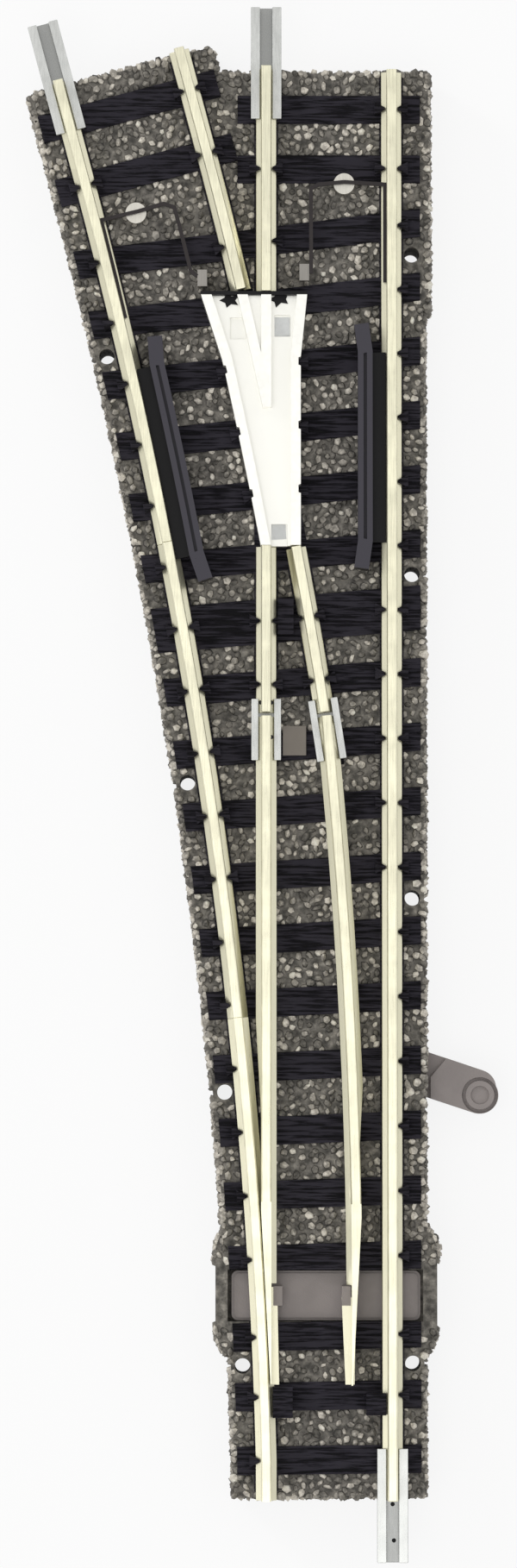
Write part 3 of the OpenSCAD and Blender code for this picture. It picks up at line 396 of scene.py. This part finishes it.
RAILS = ("left_stock_rail", "left_stock_rail_middle", "left_stock_rail_far",
         "right_stock_rail", "left_closure_rail", "right_closure_rail",
         "straight_inner_rail", "diverging_inner_rail", "left_switch_blade",
         "right_switch_blade")
# The rolled edge of each blade's foot ahead of the tie bar: its heights and its plan's corners
BLADE_FOOT_Z = (5.56, 5.68)
BLADE_FEET = (
    ("left_blade_foot", "left_blade", ((-4.6, 8.65), (-3.9, 8.65), (-4.05, 16.2), (-4.5, 16.2))),
    ("right_blade_foot", "right_blade", ((1.25, 8.65), (1.95, 8.65), (2.08, 15.4), (0.95, 15.4))),
)


def strip(name, body, slot, corners, heights, material):
    """A flat plate from its plan's corners and its two heights, in millimetres."""
    bm = bmesh.new()
    low, high = heights
    face = bm.faces.new([bm.verts.new((x * MM, y * MM, low * MM)) for x, y in corners])
    raised = bmesh.ops.extrude_face_region(bm, geom=[face])["geom"]
    moved = [v for v in raised if isinstance(v, bmesh.types.BMVert)]
    bmesh.ops.translate(bm, verts=moved, vec=(0, 0, (high - low) * MM))
    bmesh.ops.recalc_face_normals(bm, faces=bm.faces[:])
    mesh = bpy.data.meshes.new(name)
    bm.to_mesh(mesh)
    bm.free()
    return new_piece(name, mesh, body, slot, material)


class TURNOUT_OT_rails(bpy.types.Operator):
    """Nickel silver rails and blades"""
    bl_idname = "turnout.rails"
    bl_label = "Rails"

    def execute(self, context):
        metal = context.scene.turnout_metal
        # The rails' lower parts are darkened as painted shade
        rail = metal_finish("rail_nickel_silver", metal.rail, dull=0.72, depth=RAIL_PAINTED_SHADE)
        paint(rail, *RAILS)
        # The first rail's set has a mitre too thin to round
        soften(EDGES["rail"], *RAILS[1:])
        for name, body, corners in BLADE_FEET:
            strip(name, body, "rail", corners, BLADE_FOOT_Z, rail)
        return {"FINISHED"}


# Grey flats where the wheels come onto the casting: half width and length, and turn
FROG_FLATS = (
    ("flat_right", (0.7, 0.8), 0.0),
    ("flat_throat", (0.6, 0.7), 0.06),
)
# How far a flat or a lug reaches below and above the casting's surface
FLAT_HEIGHTS = (-0.02, 0.05)
LUG_HEIGHTS = (-0.05, 0.12)
# A lug's points, how far its outer and inner ones reach, the least share and the spread of
# that reach, and its length over its width
LUG_POINTS = 10
LUG_REACH = (0.82, 0.45)
LUG_SPREAD = (0.85, 0.3)
LUG_STRETCH = 0.75


def heights_over(place, heights):
    """Heights given over a place as heights over the base, in millimetres."""
    return tuple(place.z + height for height in heights)


def lug(name, at, material):
    """A ragged black lug where the insulator grips the casting."""
    corners = []
    rng = np.random.default_rng(len(name))
    outer, inner = LUG_REACH
    least, spread = LUG_SPREAD
    for i in range(LUG_POINTS):
        angle = math.tau * i / LUG_POINTS
        reach = (outer if i % 2 else inner) * (least + spread * rng.random())
        corners.append((at.x + reach * math.cos(angle),
                        at.y + LUG_STRETCH * reach * math.sin(angle)))
    return strip(name, "base", "sleeper_black", corners, heights_over(at, LUG_HEIGHTS), material)


class TURNOUT_OT_frog(bpy.types.Operator):
    """Frog casting and its insulating strip"""
    bl_idname = "turnout.frog"
    bl_label = "Frog"

    def execute(self, context):
        metal = context.scene.turnout_metal
        # The casting's floor is darkened as painted shade below its top
        paint(metal_finish("frog_cast_metal", metal.casting, roughness=0.34,
                           streak=(2.5, 2.5, 2.5), dull=0.92, depth=FROG_PAINTED_SHADE), "frog_casting")
        soften(EDGES["frog"], "frog_casting")
        black = plastic_finish("insulator_plastic", linear(12, 11, 14), grain=6.0, depth=0.02,
                               vary=0.3, shine=0.2)
        paint(black, "frog_insulator")
        grey = plastic_finish("frog_floor_grey", linear(228, 230, 231), grain=6.0, depth=0.02,
                              vary=0.12)
        for name, (wide, long), turn in FROG_FLATS:
            at = on_surface(POINTS[name], "frog_casting") / MM
            corners = [(at.x + dx * math.cos(turn) - dy * math.sin(turn),
                        at.y + dx * math.sin(turn) + dy * math.cos(turn))
                       for dx, dy in ((-wide, -long), (wide, -long), (wide, long), (-wide, long))]
            strip(name, "base", "frog_metal", corners, heights_over(at, FLAT_HEIGHTS), grey)
        for name in ("left_cap", "right_cap"):
            lug(name, on_surface(POINTS[name], "frog_casting") / MM, black)
        return {"FINISHED"}


# The pressed dimples of the joiners, drawn as flat dark discs of painted shade, and the metal
# that each is in
HEEL_METAL = ("left_heel_joiner", "left_closure_rail", "left_switch_blade", "heel_pins")
TOE_METAL = ("toe_joiner", "right_stock_rail")
DIMPLES = (
    ("heel_dimple_1", HEEL_METAL), ("heel_dimple_2", HEEL_METAL), ("heel_dimple_4", HEEL_METAL),
    ("toe_dimple_3", TOE_METAL), ("toe_dimple_4", TOE_METAL),
)
DIMPLE_RADIUS = 0.17
DIMPLE_SIDES = 12
DIMPLE_HEIGHTS = (-0.03, 0.02)


class TURNOUT_OT_joiners(bpy.types.Operator):
    """Rail joiners, heel joiners and heel pins"""
    bl_idname = "turnout.joiners"
    bl_label = "Joiners"

    def execute(self, context):
        metal = context.scene.turnout_metal
        names = ("toe_joiner", "straight_joiner", "diverging_joiner", "left_heel_joiner",
                 "right_heel_joiner")
        # The joiners' troughs are darkened as painted shade below the lips
        sheet = metal_finish("joiner_sheet", metal.joiner, roughness=0.28,
                             streak=(9.0, 1.0, 3.0), dull=0.8, depth=JOINER_PAINTED_SHADE)
        paint(sheet, *names, "heel_pins")
        soften(EDGES["joiner"], *names)
        dark = plastic_finish("dimple_shadow", linear(22, 22, 24), roughness=0.6, grain=6.0,
                              vary=0.2, shine=0.2)
        for name, nodes in DIMPLES:
            at = on_surface(POINTS[name], *nodes) / MM
            turns = [math.tau * i / DIMPLE_SIDES for i in range(DIMPLE_SIDES)]
            disc = [(at.x + DIMPLE_RADIUS * math.cos(turn), at.y + DIMPLE_RADIUS * math.sin(turn))
                    for turn in turns]
            strip(name, "base", "joiner_metal", disc, heights_over(at, DIMPLE_HEIGHTS), dark)
        return {"FINISHED"}


def sleeper_finish(colour):
    """Black plastic with moulded wood grain along each sleeper."""
    f = Finish("sleeper_wood_grain")
    colour = tuple(colour)
    bent = f.noise(f.place((0.3, 0.3, 0.3)), 1.0, 2.0)
    grain = f.noise(f.place((0.22, 3.4, 1.0)), 1.4, 5.0, 0.65)
    knots = f.noise(f.place((0.5, 1.2, 1.0)), 1.0, 2.0)
    line = (grain + bent * 0.15).over(0.42, 0.62)
    tone = line * 0.75 + knots * 0.25
    base = f.ramp(tone, [(at, tuple(c * share for c in colour))
                         for at, share in ((0.0, 0.1), (0.45, 0.5), (1.0, 1.9))])
    return f.finish(base_color=base, roughness=0.62 - line * 0.12, specular_ior_level=0.1,
                    normal=f.bump(line, 0.06, 0.9))


class TURNOUT_OT_sleepers(bpy.types.Operator):
    """Sleepers with wood grain"""
    bl_idname = "turnout.sleepers"
    bl_label = "Sleepers"

    def execute(self, context):
        plastic = context.scene.turnout_plastic
        paint(sleeper_finish(plastic.sleeper), "sleeper_grid", "toe_sleepers")
        soften(EDGES["sleeper"], "sleeper_grid", "toe_sleepers")
        return {"FINISHED"}


class TURNOUT_OT_check_rails(bpy.types.Operator):
    """Glossy black check rails"""
    bl_idname = "turnout.check_rails"
    bl_label = "Check rails"

    def execute(self, context):
        names = ("left_check_rail", "right_check_rail")
        # The check rails' upper parts carry a painted highlight
        paint(plastic_finish("check_rail_gloss", linear(9, 8, 10), roughness=0.3, grain=5.0,
                             depth=0.004, vary=0.2, shine=0.2, top=CHECK_RAIL_PAINTED_HIGHLIGHT), *names)
        soften(EDGES["check_rail"], *names)
        return {"FINISHED"}


# The ballast's shades: where on its speckle, times the middle colour, and no brighter than
BALLAST_SHADES = ((0.0, 0.2, 1.0), (0.3, 1.0, 1.0), (0.55, 2.2, 1.0), (0.75, 4.0, 0.85),
                  (1.0, 5.5, 0.92))
# Share of the stones' colour left as painted shade down in the creases
PAINTED_CREASE_SHADE = 0.15


def ballast_finish(name, colour, by_stone, crease=None):
    """Speckled ballast: each stone has its own tone, and the low creases between are darkened
    with painted shade.
    """
    f = Finish(name)
    colour = np.array(colour)
    fine = f.noise(f.place(), 2.2, 4.0, 0.7)
    if by_stone:
        tone = f.attribute("shade") * 0.6 + fine.over(0.3, 0.75) * 0.4
    else:
        cells = f.cells(f.place(), 1.6)
        tone = cells * 0.5 + fine.over(0.3, 0.7) * 0.3
    base = f.ramp(tone, [(at, tuple(np.minimum(colour * share, most)))
                         for at, share, most in BALLAST_SHADES])
    # Painted shade: the stones darken towards the bed between the given heights
    if crease:
        base = f.mix(f.height().over(*crease), tuple(colour * PAINTED_CREASE_SHADE), base)
    return f.finish(base_color=base, roughness=0.82, normal=f.bump(fine, 0.08, 0.8))


# Least and most stretch of a stone along its axes, and the least and the spread of its corners
STONE_STRETCH = ((0.62, 0.62, 0.5), (1.35, 1.15, 1.0))
STONE_CORNER = (0.86, 0.3)


def stone_tree():
    """Geometry Nodes that set a turned and stretched stone on each point."""
    tree = bpy.data.node_groups.new("ballast_stones", "GeometryNodeTree")
    face = tree.interface
    for name, kind in (("Geometry", "Geometry"), ("Stone Size", "Float"), ("Seed", "Int"),
                       ("Stone", "Object"), ("Material", "Material")):
        face.new_socket(name, in_out="INPUT", socket_type="NodeSocket" + kind)
    face.new_socket("Geometry", in_out="OUTPUT", socket_type="NodeSocketGeometry")
    nodes, links = tree.nodes, tree.links
    given, result = nodes.new("NodeGroupInput"), nodes.new("NodeGroupOutput")

    def random(kind, low, high):
        made = nodes.new("FunctionNodeRandomValue")
        made.data_type = kind
        live = [s for s in made.inputs if s.enabled]
        live[0].default_value, live[1].default_value = low, high
        links.new(given.outputs["Seed"], made.inputs["Seed"])
        return next(s for s in made.outputs if s.enabled)

    instance = nodes.new("GeometryNodeInstanceOnPoints")
    links.new(given.outputs["Geometry"], instance.inputs["Points"])
    info = nodes.new("GeometryNodeObjectInfo")
    links.new(given.outputs["Stone"], info.inputs["Object"])
    links.new(info.outputs["Geometry"], instance.inputs["Instance"])
    links.new(random("FLOAT_VECTOR", (0, 0, 0), (math.tau,) * 3), instance.inputs["Rotation"])
    stretch = nodes.new("ShaderNodeVectorMath")
    stretch.operation = "SCALE"
    links.new(random("FLOAT_VECTOR", *STONE_STRETCH), stretch.inputs[0])
    links.new(given.outputs["Stone Size"], stretch.inputs["Scale"])
    links.new(stretch.outputs[0], instance.inputs["Scale"])
    store = nodes.new("GeometryNodeStoreNamedAttribute")
    store.domain = "INSTANCE"
    store.inputs["Name"].default_value = "shade"
    links.new(instance.outputs[0], store.inputs["Geometry"])
    links.new(random("FLOAT", 0.0, 1.0), store.inputs["Value"])
    realize = nodes.new("GeometryNodeRealizeInstances")
    links.new(store.outputs[0], realize.inputs[0])
    material = nodes.new("GeometryNodeSetMaterial")
    links.new(realize.outputs[0], material.inputs["Geometry"])
    links.new(given.outputs["Material"], material.inputs["Material"])
    links.new(material.outputs[0], result.inputs[0])
    return tree


def stone_shape():
    """One angular stone of about unit radius."""
    bm = bmesh.new()
    bmesh.ops.create_icosphere(bm, subdivisions=1, radius=1.0)
    rng = np.random.default_rng(3)
    least, spread = STONE_CORNER
    for vertex in bm.verts:
        vertex.co *= least + spread * rng.random()
    mesh = bpy.data.meshes.new("stone_shape")
    bm.to_mesh(mesh)
    bm.free()
    return bpy.data.objects.new("stone_shape", mesh)


def set_stones(name, spots, stone, material, settings):
    """Grows stones on the spots and keeps them as a plain mesh."""
    mesh = bpy.data.meshes.new(name)
    mesh.from_pydata([tuple(s * MM) for s in spots], [], [])
    seed_object = bpy.data.objects.new(name + "_seed", mesh)
    bpy.context.scene.collection.objects.link(seed_object)
    tree = bpy.data.node_groups.get("ballast_stones") or stone_tree()
    modifier = seed_object.modifiers.new("stones", "NODES")
    modifier.node_group = tree
    values = {"Stone Size": settings.stone_size, "Seed": settings.seed,
              "Stone": stone, "Material": material}
    for item in tree.interface.items_tree:
        if item.in_out == "INPUT" and item.name in values:
            modifier[item.identifier] = values[item.name]
    bpy.context.view_layer.update()
    graph = bpy.context.evaluated_depsgraph_get()
    made = bpy.data.meshes.new_from_object(seed_object.evaluated_get(graph))
    made.name = name
    bpy.data.objects.remove(seed_object)
    return new_piece(name, made, "base", "ballast")


# Which faces are the bed's top or its walls: by their normal's Z and their height. A wall is
# an outer one where a ray that starts this far off it meets nothing. All in millimetres
TOP_NORMAL = 0.9
TOP_ROOM = 0.05
WALL_NORMAL = 0.1
WALL_FOOT = 0.6
FACE_OFFSET = 0.01


def ballast_surfaces():
    """The bed's open top, and its outer walls, as triangles in millimetres."""
    tris = triangles_of("ballast_bed")
    normals = np.cross(tris[:, 1] - tris[:, 0], tris[:, 2] - tris[:, 0])
    normals /= np.maximum(np.linalg.norm(normals, axis=1), 1e-12)[:, None]
    top_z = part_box("ballast_bed")[1].z / MM
    tops = tris[(normals[:, 2] > TOP_NORMAL) & (tris[:, :, 2].min(axis=1) > top_z - TOP_ROOM)]
    tree = BVHTree.FromPolygons([tuple(p) for p in tris.reshape(-1, 3)],
                                [(3 * i, 3 * i + 1, 3 * i + 2) for i in range(len(tris))])
    walls = []
    for tri, normal in zip(tris, normals):
        if abs(normal[2]) > WALL_NORMAL:
            continue
        centre = tri.mean(axis=0)
        hit = tree.ray_cast(Vector(centre + normal * FACE_OFFSET), Vector(normal))
        if hit[0] is None and centre[2] > WALL_FOOT:
            walls.append(tri)
    return tops, np.array(walls)


# Where no stone is set, in millimetres: round a nail hole, at the lever's window (along the
# track from the lever's pin, and below a height), round the tie bar and down at the base
NAIL_HOLE_REACH = 0.95
WINDOW_REACH = 4.4
WINDOW_TOP = 3.0
TIE_ROOM = 0.6
LOWEST_STONE = 0.45
# How far a top stone's middle is sunk, the heights over the bed between which the painted shade
# of the creases ends, and how far all stones stay below the rails' feet
STONE_SINK = 0.04
PAINTED_CREASE_HEIGHTS = (0.02, 0.17)
STONE_ROOM = 0.05
# The bed between the stones against the stones' colour, darkened as painted shade between the
# stones
BED_PAINTED_SHADE = 0.5


def clear_spots(spots):
    """Leaves out spots at the nail holes, the lever's window, the tie bar and the base."""
    nails = [m for m in frame["record"]["mounts"] if m["kind"] == "bore"]
    x, y, z = spots.T
    keep = z > LOWEST_STONE
    for nail in nails:
        hole_x, hole_y = nail["pos_m"][0] / MM, nail["pos_m"][1] / MM
        keep &= np.hypot(x - hole_x, y - hole_y) > NAIL_HOLE_REACH
    pin = middle("lever_pivot_pin") / MM
    keep &= ~((x > pin.x) & (abs(y - pin.y) < WINDOW_REACH) & (z < WINDOW_TOP))
    low, high = (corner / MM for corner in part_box("tie_bar"))
    keep &= ~((y > low.y - TIE_ROOM) & (y < high.y + TIE_ROOM) & (z > low.z - TIE_ROOM))
    return spots[keep]


class TURNOUT_OT_ballast(bpy.types.Operator):
    """Ballast bed with its stones"""
    bl_idname = "turnout.ballast"
    bl_label = "Ballast"

    def execute(self, context):
        settings = context.scene.turnout_ballast
        # The bed seen between the stones is darkened as painted shade
        painted_bed_shade = [c * BED_PAINTED_SHADE for c in settings.colour]
        paint(ballast_finish("ballast_moulding", painted_bed_shade, False), "ballast_bed")
        side = ballast_finish("ballast_stone", settings.colour, True)
        top_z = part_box("ballast_bed")[1].z / MM
        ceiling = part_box("frog_casting")[0].z - STONE_ROOM * MM
        # The top stones darken towards the bed as painted shade in the creases
        top = ballast_finish("ballast_stone_top", settings.colour, True,
                             [top_z + height for height in PAINTED_CREASE_HEIGHTS])
        shape = stone_shape()
        tops, walls = ballast_surfaces()
        rng = np.random.default_rng(settings.seed)
        spacing = settings.stone_spacing / MM
        for name, tris, stones in (("top_stones", tops, top), ("side_stones", walls, side)):
            spots = clear_spots(scatter(tris, spacing, rng))
            if name == "top_stones":
                spots[:, 2] -= STONE_SINK
            if not len(spots):
                raise RuntimeError("no room for " + name)
            piece = set_stones(name, spots, shape, stones, settings)
            for vertex in piece.data.vertices:
                vertex.co.z = min(vertex.co.z, ceiling)
        bpy.data.objects.remove(shape)
        return {"FINISHED"}


class TURNOUT_OT_throw(bpy.types.Operator):
    """Tie bar, lever, rocker, spring and pins"""
    bl_idname = "turnout.throw"
    bl_label = "Throw"

    def execute(self, context):
        plastic = context.scene.turnout_plastic
        names = ("tie_bar", "throw_lever")
        paint(plastic_finish("throw_plastic", plastic.throw, roughness=0.48, depth=0.03,
                             vary=0.05), *names)
        soften(EDGES["throw"], *names)
        paint(metal_finish("plated_steel", linear(190, 190, 188)),
              "throw_rocker", "toggle_spring", "cover_screws")
        paint(metal_finish("brass_plain", linear(196, 168, 104)),
              "lever_pivot_pin", "rocker_pivot_pin", "left_jumper_strip", "right_jumper_strip")
        paint(plastic_finish("cover_plastic", linear(38, 37, 39)), "bottom_cover")
        return {"FINISHED"}


class TURNOUT_OT_feed(bpy.types.Operator):
    """Feed clips, studs and tabs, and the plate between the heels"""
    bl_idname = "turnout.feed"
    bl_label = "Feed"

    def execute(self, context):
        paint(metal_finish("clip_dark_strip", linear(52, 48, 48), roughness=0.35),
              "left_feed_clip", "right_feed_clip")
        paint(metal_finish("stud_metal", linear(214, 210, 200)), "feed_studs")
        paint(metal_finish("tab_metal", linear(150, 146, 140)), "feed_tabs")
        paint(plastic_finish("heel_plate_plastic", linear(120, 113, 105), roughness=0.6,
                             grain=6.0, vary=0.08), "heel_plate")
        return {"FINISHED"}


# ---- Stage ----

# Each lamp's name, place, size and share of the lamp power, in metres
LAMPS = (
    ("overhead", (-0.12, -0.08, 0.5), 0.35, 1.0),
    ("fill", (0.25, 0.2, 0.35), 0.3, 0.2),
    ("key", (-0.3, 0.3, 0.22), 0.07, 0.7),
)
LAMP_AIM = Vector((0, 0.055, 0))
WORLD_LIGHT = 0.62
FLOOR_SIZE = 2.0
FLOOR_COLOUR = (0.9, 0.9, 0.9, 1)
# How much of the floor's own light the camera sees in place of its shading
FLOOR_GLOW = 0.85


def lamp(name, place, size, power):
    """A square lamp turned to the track."""
    data = bpy.data.lights.new(name, "AREA")
    data.energy, data.size = power, size
    made = bpy.data.objects.new(name, data)
    made.location = place
    made.rotation_euler = (LAMP_AIM - Vector(place)).to_track_quat("-Z", "Y").to_euler()
    bpy.context.scene.collection.objects.link(made)


def either_ray(nodes, links, *kinds):
    """1 where a ray of one of these kinds arrives, else 0."""
    path = nodes.new("ShaderNodeLightPath")
    seen = path.outputs[kinds[0]]
    for kind in kinds[1:]:
        larger = nodes.new("ShaderNodeMath")
        larger.operation = "MAXIMUM"
        links.new(seen, larger.inputs[0])
        links.new(path.outputs[kind], larger.inputs[1])
        seen = larger.outputs[0]
    return seen


def set_world():
    """Soft grey light, and pure white where camera, gloss or glass rays look past the object."""
    world = bpy.data.worlds.new("studio")
    bpy.context.scene.world = world
    world.use_nodes = True
    nodes, links = world.node_tree.nodes, world.node_tree.links
    nodes.clear()
    seen = either_ray(nodes, links, "Is Camera Ray", "Is Glossy Ray", "Is Transmission Ray")
    light, white = nodes.new("ShaderNodeBackground"), nodes.new("ShaderNodeBackground")
    for background, strength in ((light, WORLD_LIGHT), (white, 1.0)):
        background.inputs["Strength"].default_value = strength
        background.inputs["Color"].default_value = (1, 1, 1, 1)
    mix, out = nodes.new("ShaderNodeMixShader"), nodes.new("ShaderNodeOutputWorld")
    links.new(seen, mix.inputs[0])
    links.new(light.outputs[0], mix.inputs[1])
    links.new(white.outputs[0], mix.inputs[2])
    links.new(mix.outputs[0], out.inputs[0])


def set_floor():
    """A pale floor that keeps the object's shadow and looks near white to the camera."""
    bm = bmesh.new()
    bmesh.ops.create_grid(bm, x_segments=1, y_segments=1, size=FLOOR_SIZE)
    mesh = bpy.data.meshes.new("floor")
    bm.to_mesh(mesh)
    bm.free()
    floor = bpy.data.objects.new("floor", mesh)
    bpy.context.scene.collection.objects.link(floor)
    material = bpy.data.materials.new("floor_white")
    material.use_nodes = True
    nodes, links = material.node_tree.nodes, material.node_tree.links
    shader = nodes["Principled BSDF"]
    shader.inputs["Base Color"].default_value = FLOOR_COLOUR
    shader.inputs["Roughness"].default_value = 0.9
    glow, mix = nodes.new("ShaderNodeEmission"), nodes.new("ShaderNodeMixShader")
    part = nodes.new("ShaderNodeMath")
    part.operation = "MULTIPLY"
    part.inputs[1].default_value = FLOOR_GLOW
    links.new(either_ray(nodes, links, "Is Camera Ray", "Is Glossy Ray"), part.inputs[0])
    links.new(part.outputs[0], mix.inputs[0])
    links.new(shader.outputs[0], mix.inputs[1])
    links.new(glow.outputs[0], mix.inputs[2])
    links.new(mix.outputs[0], nodes["Material Output"].inputs[0])
    floor.data.materials.append(material)
    floor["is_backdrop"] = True


LONG_SIDE = max(FRAME_W, FRAME_H)
# Length that the frame's long side covers at the track, and where the camera looks
VIEW_LENGTH = 0.1220
TRACK_Z = 0.006
CAMERA_AIM = Vector((-0.0055, 0.05523, TRACK_Z))
SENSOR_WIDTH = 36.0


def set_camera(settings):
    """A long lens almost straight above the track."""
    data = bpy.data.cameras.new("camera")
    data.sensor_fit, data.sensor_width = "AUTO", SENSOR_WIDTH
    data.lens = data.sensor_width * settings.camera_height / VIEW_LENGTH
    camera = bpy.data.objects.new("camera", data)
    bpy.context.scene.collection.objects.link(camera)
    back = Vector((0, -math.sin(settings.tilt), math.cos(settings.tilt)))
    camera.location = CAMERA_AIM + back * settings.camera_height
    camera.rotation_euler = (settings.tilt, 0, 0)
    data.clip_start, data.clip_end = 0.01, 10.0
    bpy.context.scene.camera = camera
    bpy.context.view_layer.update()


def point_ray(x, y):
    """Start and direction of the ray through an image point."""
    camera = bpy.context.scene.camera
    data = camera.data
    ray = Vector((x - FRAME_W / 2 + data.shift_x * LONG_SIDE,
                  FRAME_H / 2 - y + data.shift_y * LONG_SIDE,
                  -LONG_SIDE * data.lens / data.sensor_width))
    turn = camera.matrix_world.to_3x3()
    return camera.matrix_world.translation.copy(), (turn @ ray).normalized()


def on_surface(point, *names):
    """Where an image point meets the named pieces."""
    points, faces = [], []
    for name in names:
        mesh = bpy.data.objects[name].data
        start = len(points)
        points += [v.co.copy() for v in mesh.vertices]
        faces += [[start + i for i in p.vertices] for p in mesh.polygons]
    tree = BVHTree.FromPolygons(points, faces)
    start, ray = point_ray(*point)
    place = tree.ray_cast(start, ray)[0]
    if place is None:
        at_track = start + ray * ((TRACK_Z - start.z) / ray.z)
        place = tree.find_nearest(at_track)[0]
    return place


def shown_at(place):
    """Image point at which a place in the scene shows."""
    camera = bpy.context.scene.camera
    data = camera.data
    local = camera.matrix_world.inverted() @ Vector(place)
    scale = LONG_SIDE * data.lens / data.sensor_width / -local.z
    return (local.x * scale + FRAME_W / 2 - data.shift_x * LONG_SIDE,
            FRAME_H / 2 - local.y * scale + data.shift_y * LONG_SIDE)


class TURNOUT_OT_stage(bpy.types.Operator):
    """Floor, light and camera"""
    bl_idname = "turnout.stage"
    bl_label = "Stage"

    def execute(self, context):
        settings = context.scene.turnout_stage
        context.scene.view_settings.view_transform = "Standard"
        set_world()
        set_floor()
        for name, place, size, share in LAMPS:
            lamp(name, place, size, settings.lamp_power * share)
        set_camera(settings)
        return {"FINISHED"}


# ---- Image points ----

def average(places):
    return sum(places, Vector()) / len(places)


def feature_places():
    """Where each named feature is, in the part's frame."""
    tie_low, tie_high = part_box("tie_bar")
    pin = middle("lever_pivot_pin")
    tip = max((v.co for v in NODES["throw_lever"].data.vertices),
              key=lambda co: (co.xy - pin.xy).length)
    joiner_low, joiner_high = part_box("toe_joiner")
    studs = [v.co for v in NODES["feed_studs"].data.vertices]
    between = middle("feed_studs").x
    return {
        "lever_tip": tip,
        "tie_bar_left": (tie_low.x, (tie_low.y + tie_high.y) / 2, tie_high.z),
        "left_stud": average([co for co in studs if co.x < between]),
        "right_stud": average([co for co in studs if co.x > between]),
        "toe_joiner_end": ((joiner_low.x + joiner_high.x) / 2, joiner_low.y, joiner_low.z),
    }


def write_points():
    """Works out how far each named thing shows from its image point; the result is not kept."""
    graph = bpy.context.evaluated_depsgraph_get()
    shown = []
    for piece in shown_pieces():
        evaluated = piece.evaluated_get(graph)
        mesh = evaluated.to_mesh()
        shown += [shown_at(evaluated.matrix_world @ v.co) for v in mesh.vertices]
        evaluated.to_mesh_clear()
    xs, ys = [p[0] for p in shown], [p[1] for p in shown]
    off = {"object_left": [min(xs) - POINTS["object_left"][0], None],
           "object_right": [max(xs) - POINTS["object_right"][0], None],
           "object_top": [None, min(ys) - POINTS["object_top"][1]],
           "object_bottom": [None, max(ys) - POINTS["object_bottom"][1]]}
    for name, place in feature_places().items():
        x, y = shown_at(place)
        off[name] = [x - POINTS[name][0], y - POINTS[name][1]]


# ---- Add-on ----

class TURNOUT_PT_panel(bpy.types.Panel):
    """Settings and steps of the turnout"""
    bl_label = "Turnout"
    bl_idname = "TURNOUT_PT_panel"
    bl_space_type = "VIEW_3D"
    bl_region_type = "UI"
    bl_category = "Turnout"

    def draw(self, context):
        for name, group in GROUPS.items():
            box = self.layout.box()
            for key in group.__annotations__:
                box.prop(getattr(context.scene, name), key)
        for operator in OPERATORS:
            self.layout.operator(operator.bl_idname)


GROUPS = {"turnout_ballast": TurnoutBallast, "turnout_metal": TurnoutMetal,
          "turnout_plastic": TurnoutPlastic, "turnout_stage": TurnoutStage}
OPERATORS = (TURNOUT_OT_stage, TURNOUT_OT_ballast, TURNOUT_OT_sleepers, TURNOUT_OT_rails,
             TURNOUT_OT_frog, TURNOUT_OT_joiners, TURNOUT_OT_check_rails, TURNOUT_OT_throw,
             TURNOUT_OT_feed)


def register():
    for group in GROUPS.values():
        bpy.utils.register_class(group)
    for operator in OPERATORS:
        bpy.utils.register_class(operator)
    bpy.utils.register_class(TURNOUT_PT_panel)
    for name, group in GROUPS.items():
        setattr(bpy.types.Scene, name, bpy.props.PointerProperty(type=group))


def unregister():
    for name in GROUPS:
        delattr(bpy.types.Scene, name)
    bpy.utils.unregister_class(TURNOUT_PT_panel)
    for group in (*reversed(OPERATORS), *GROUPS.values()):
        bpy.utils.unregister_class(group)


def main():
    register()
    for operator in OPERATORS:
        family, step = operator.bl_idname.split(".")
        getattr(getattr(bpy.ops, family), step)()
    write_points()


if __name__ == "__main__":
    main()
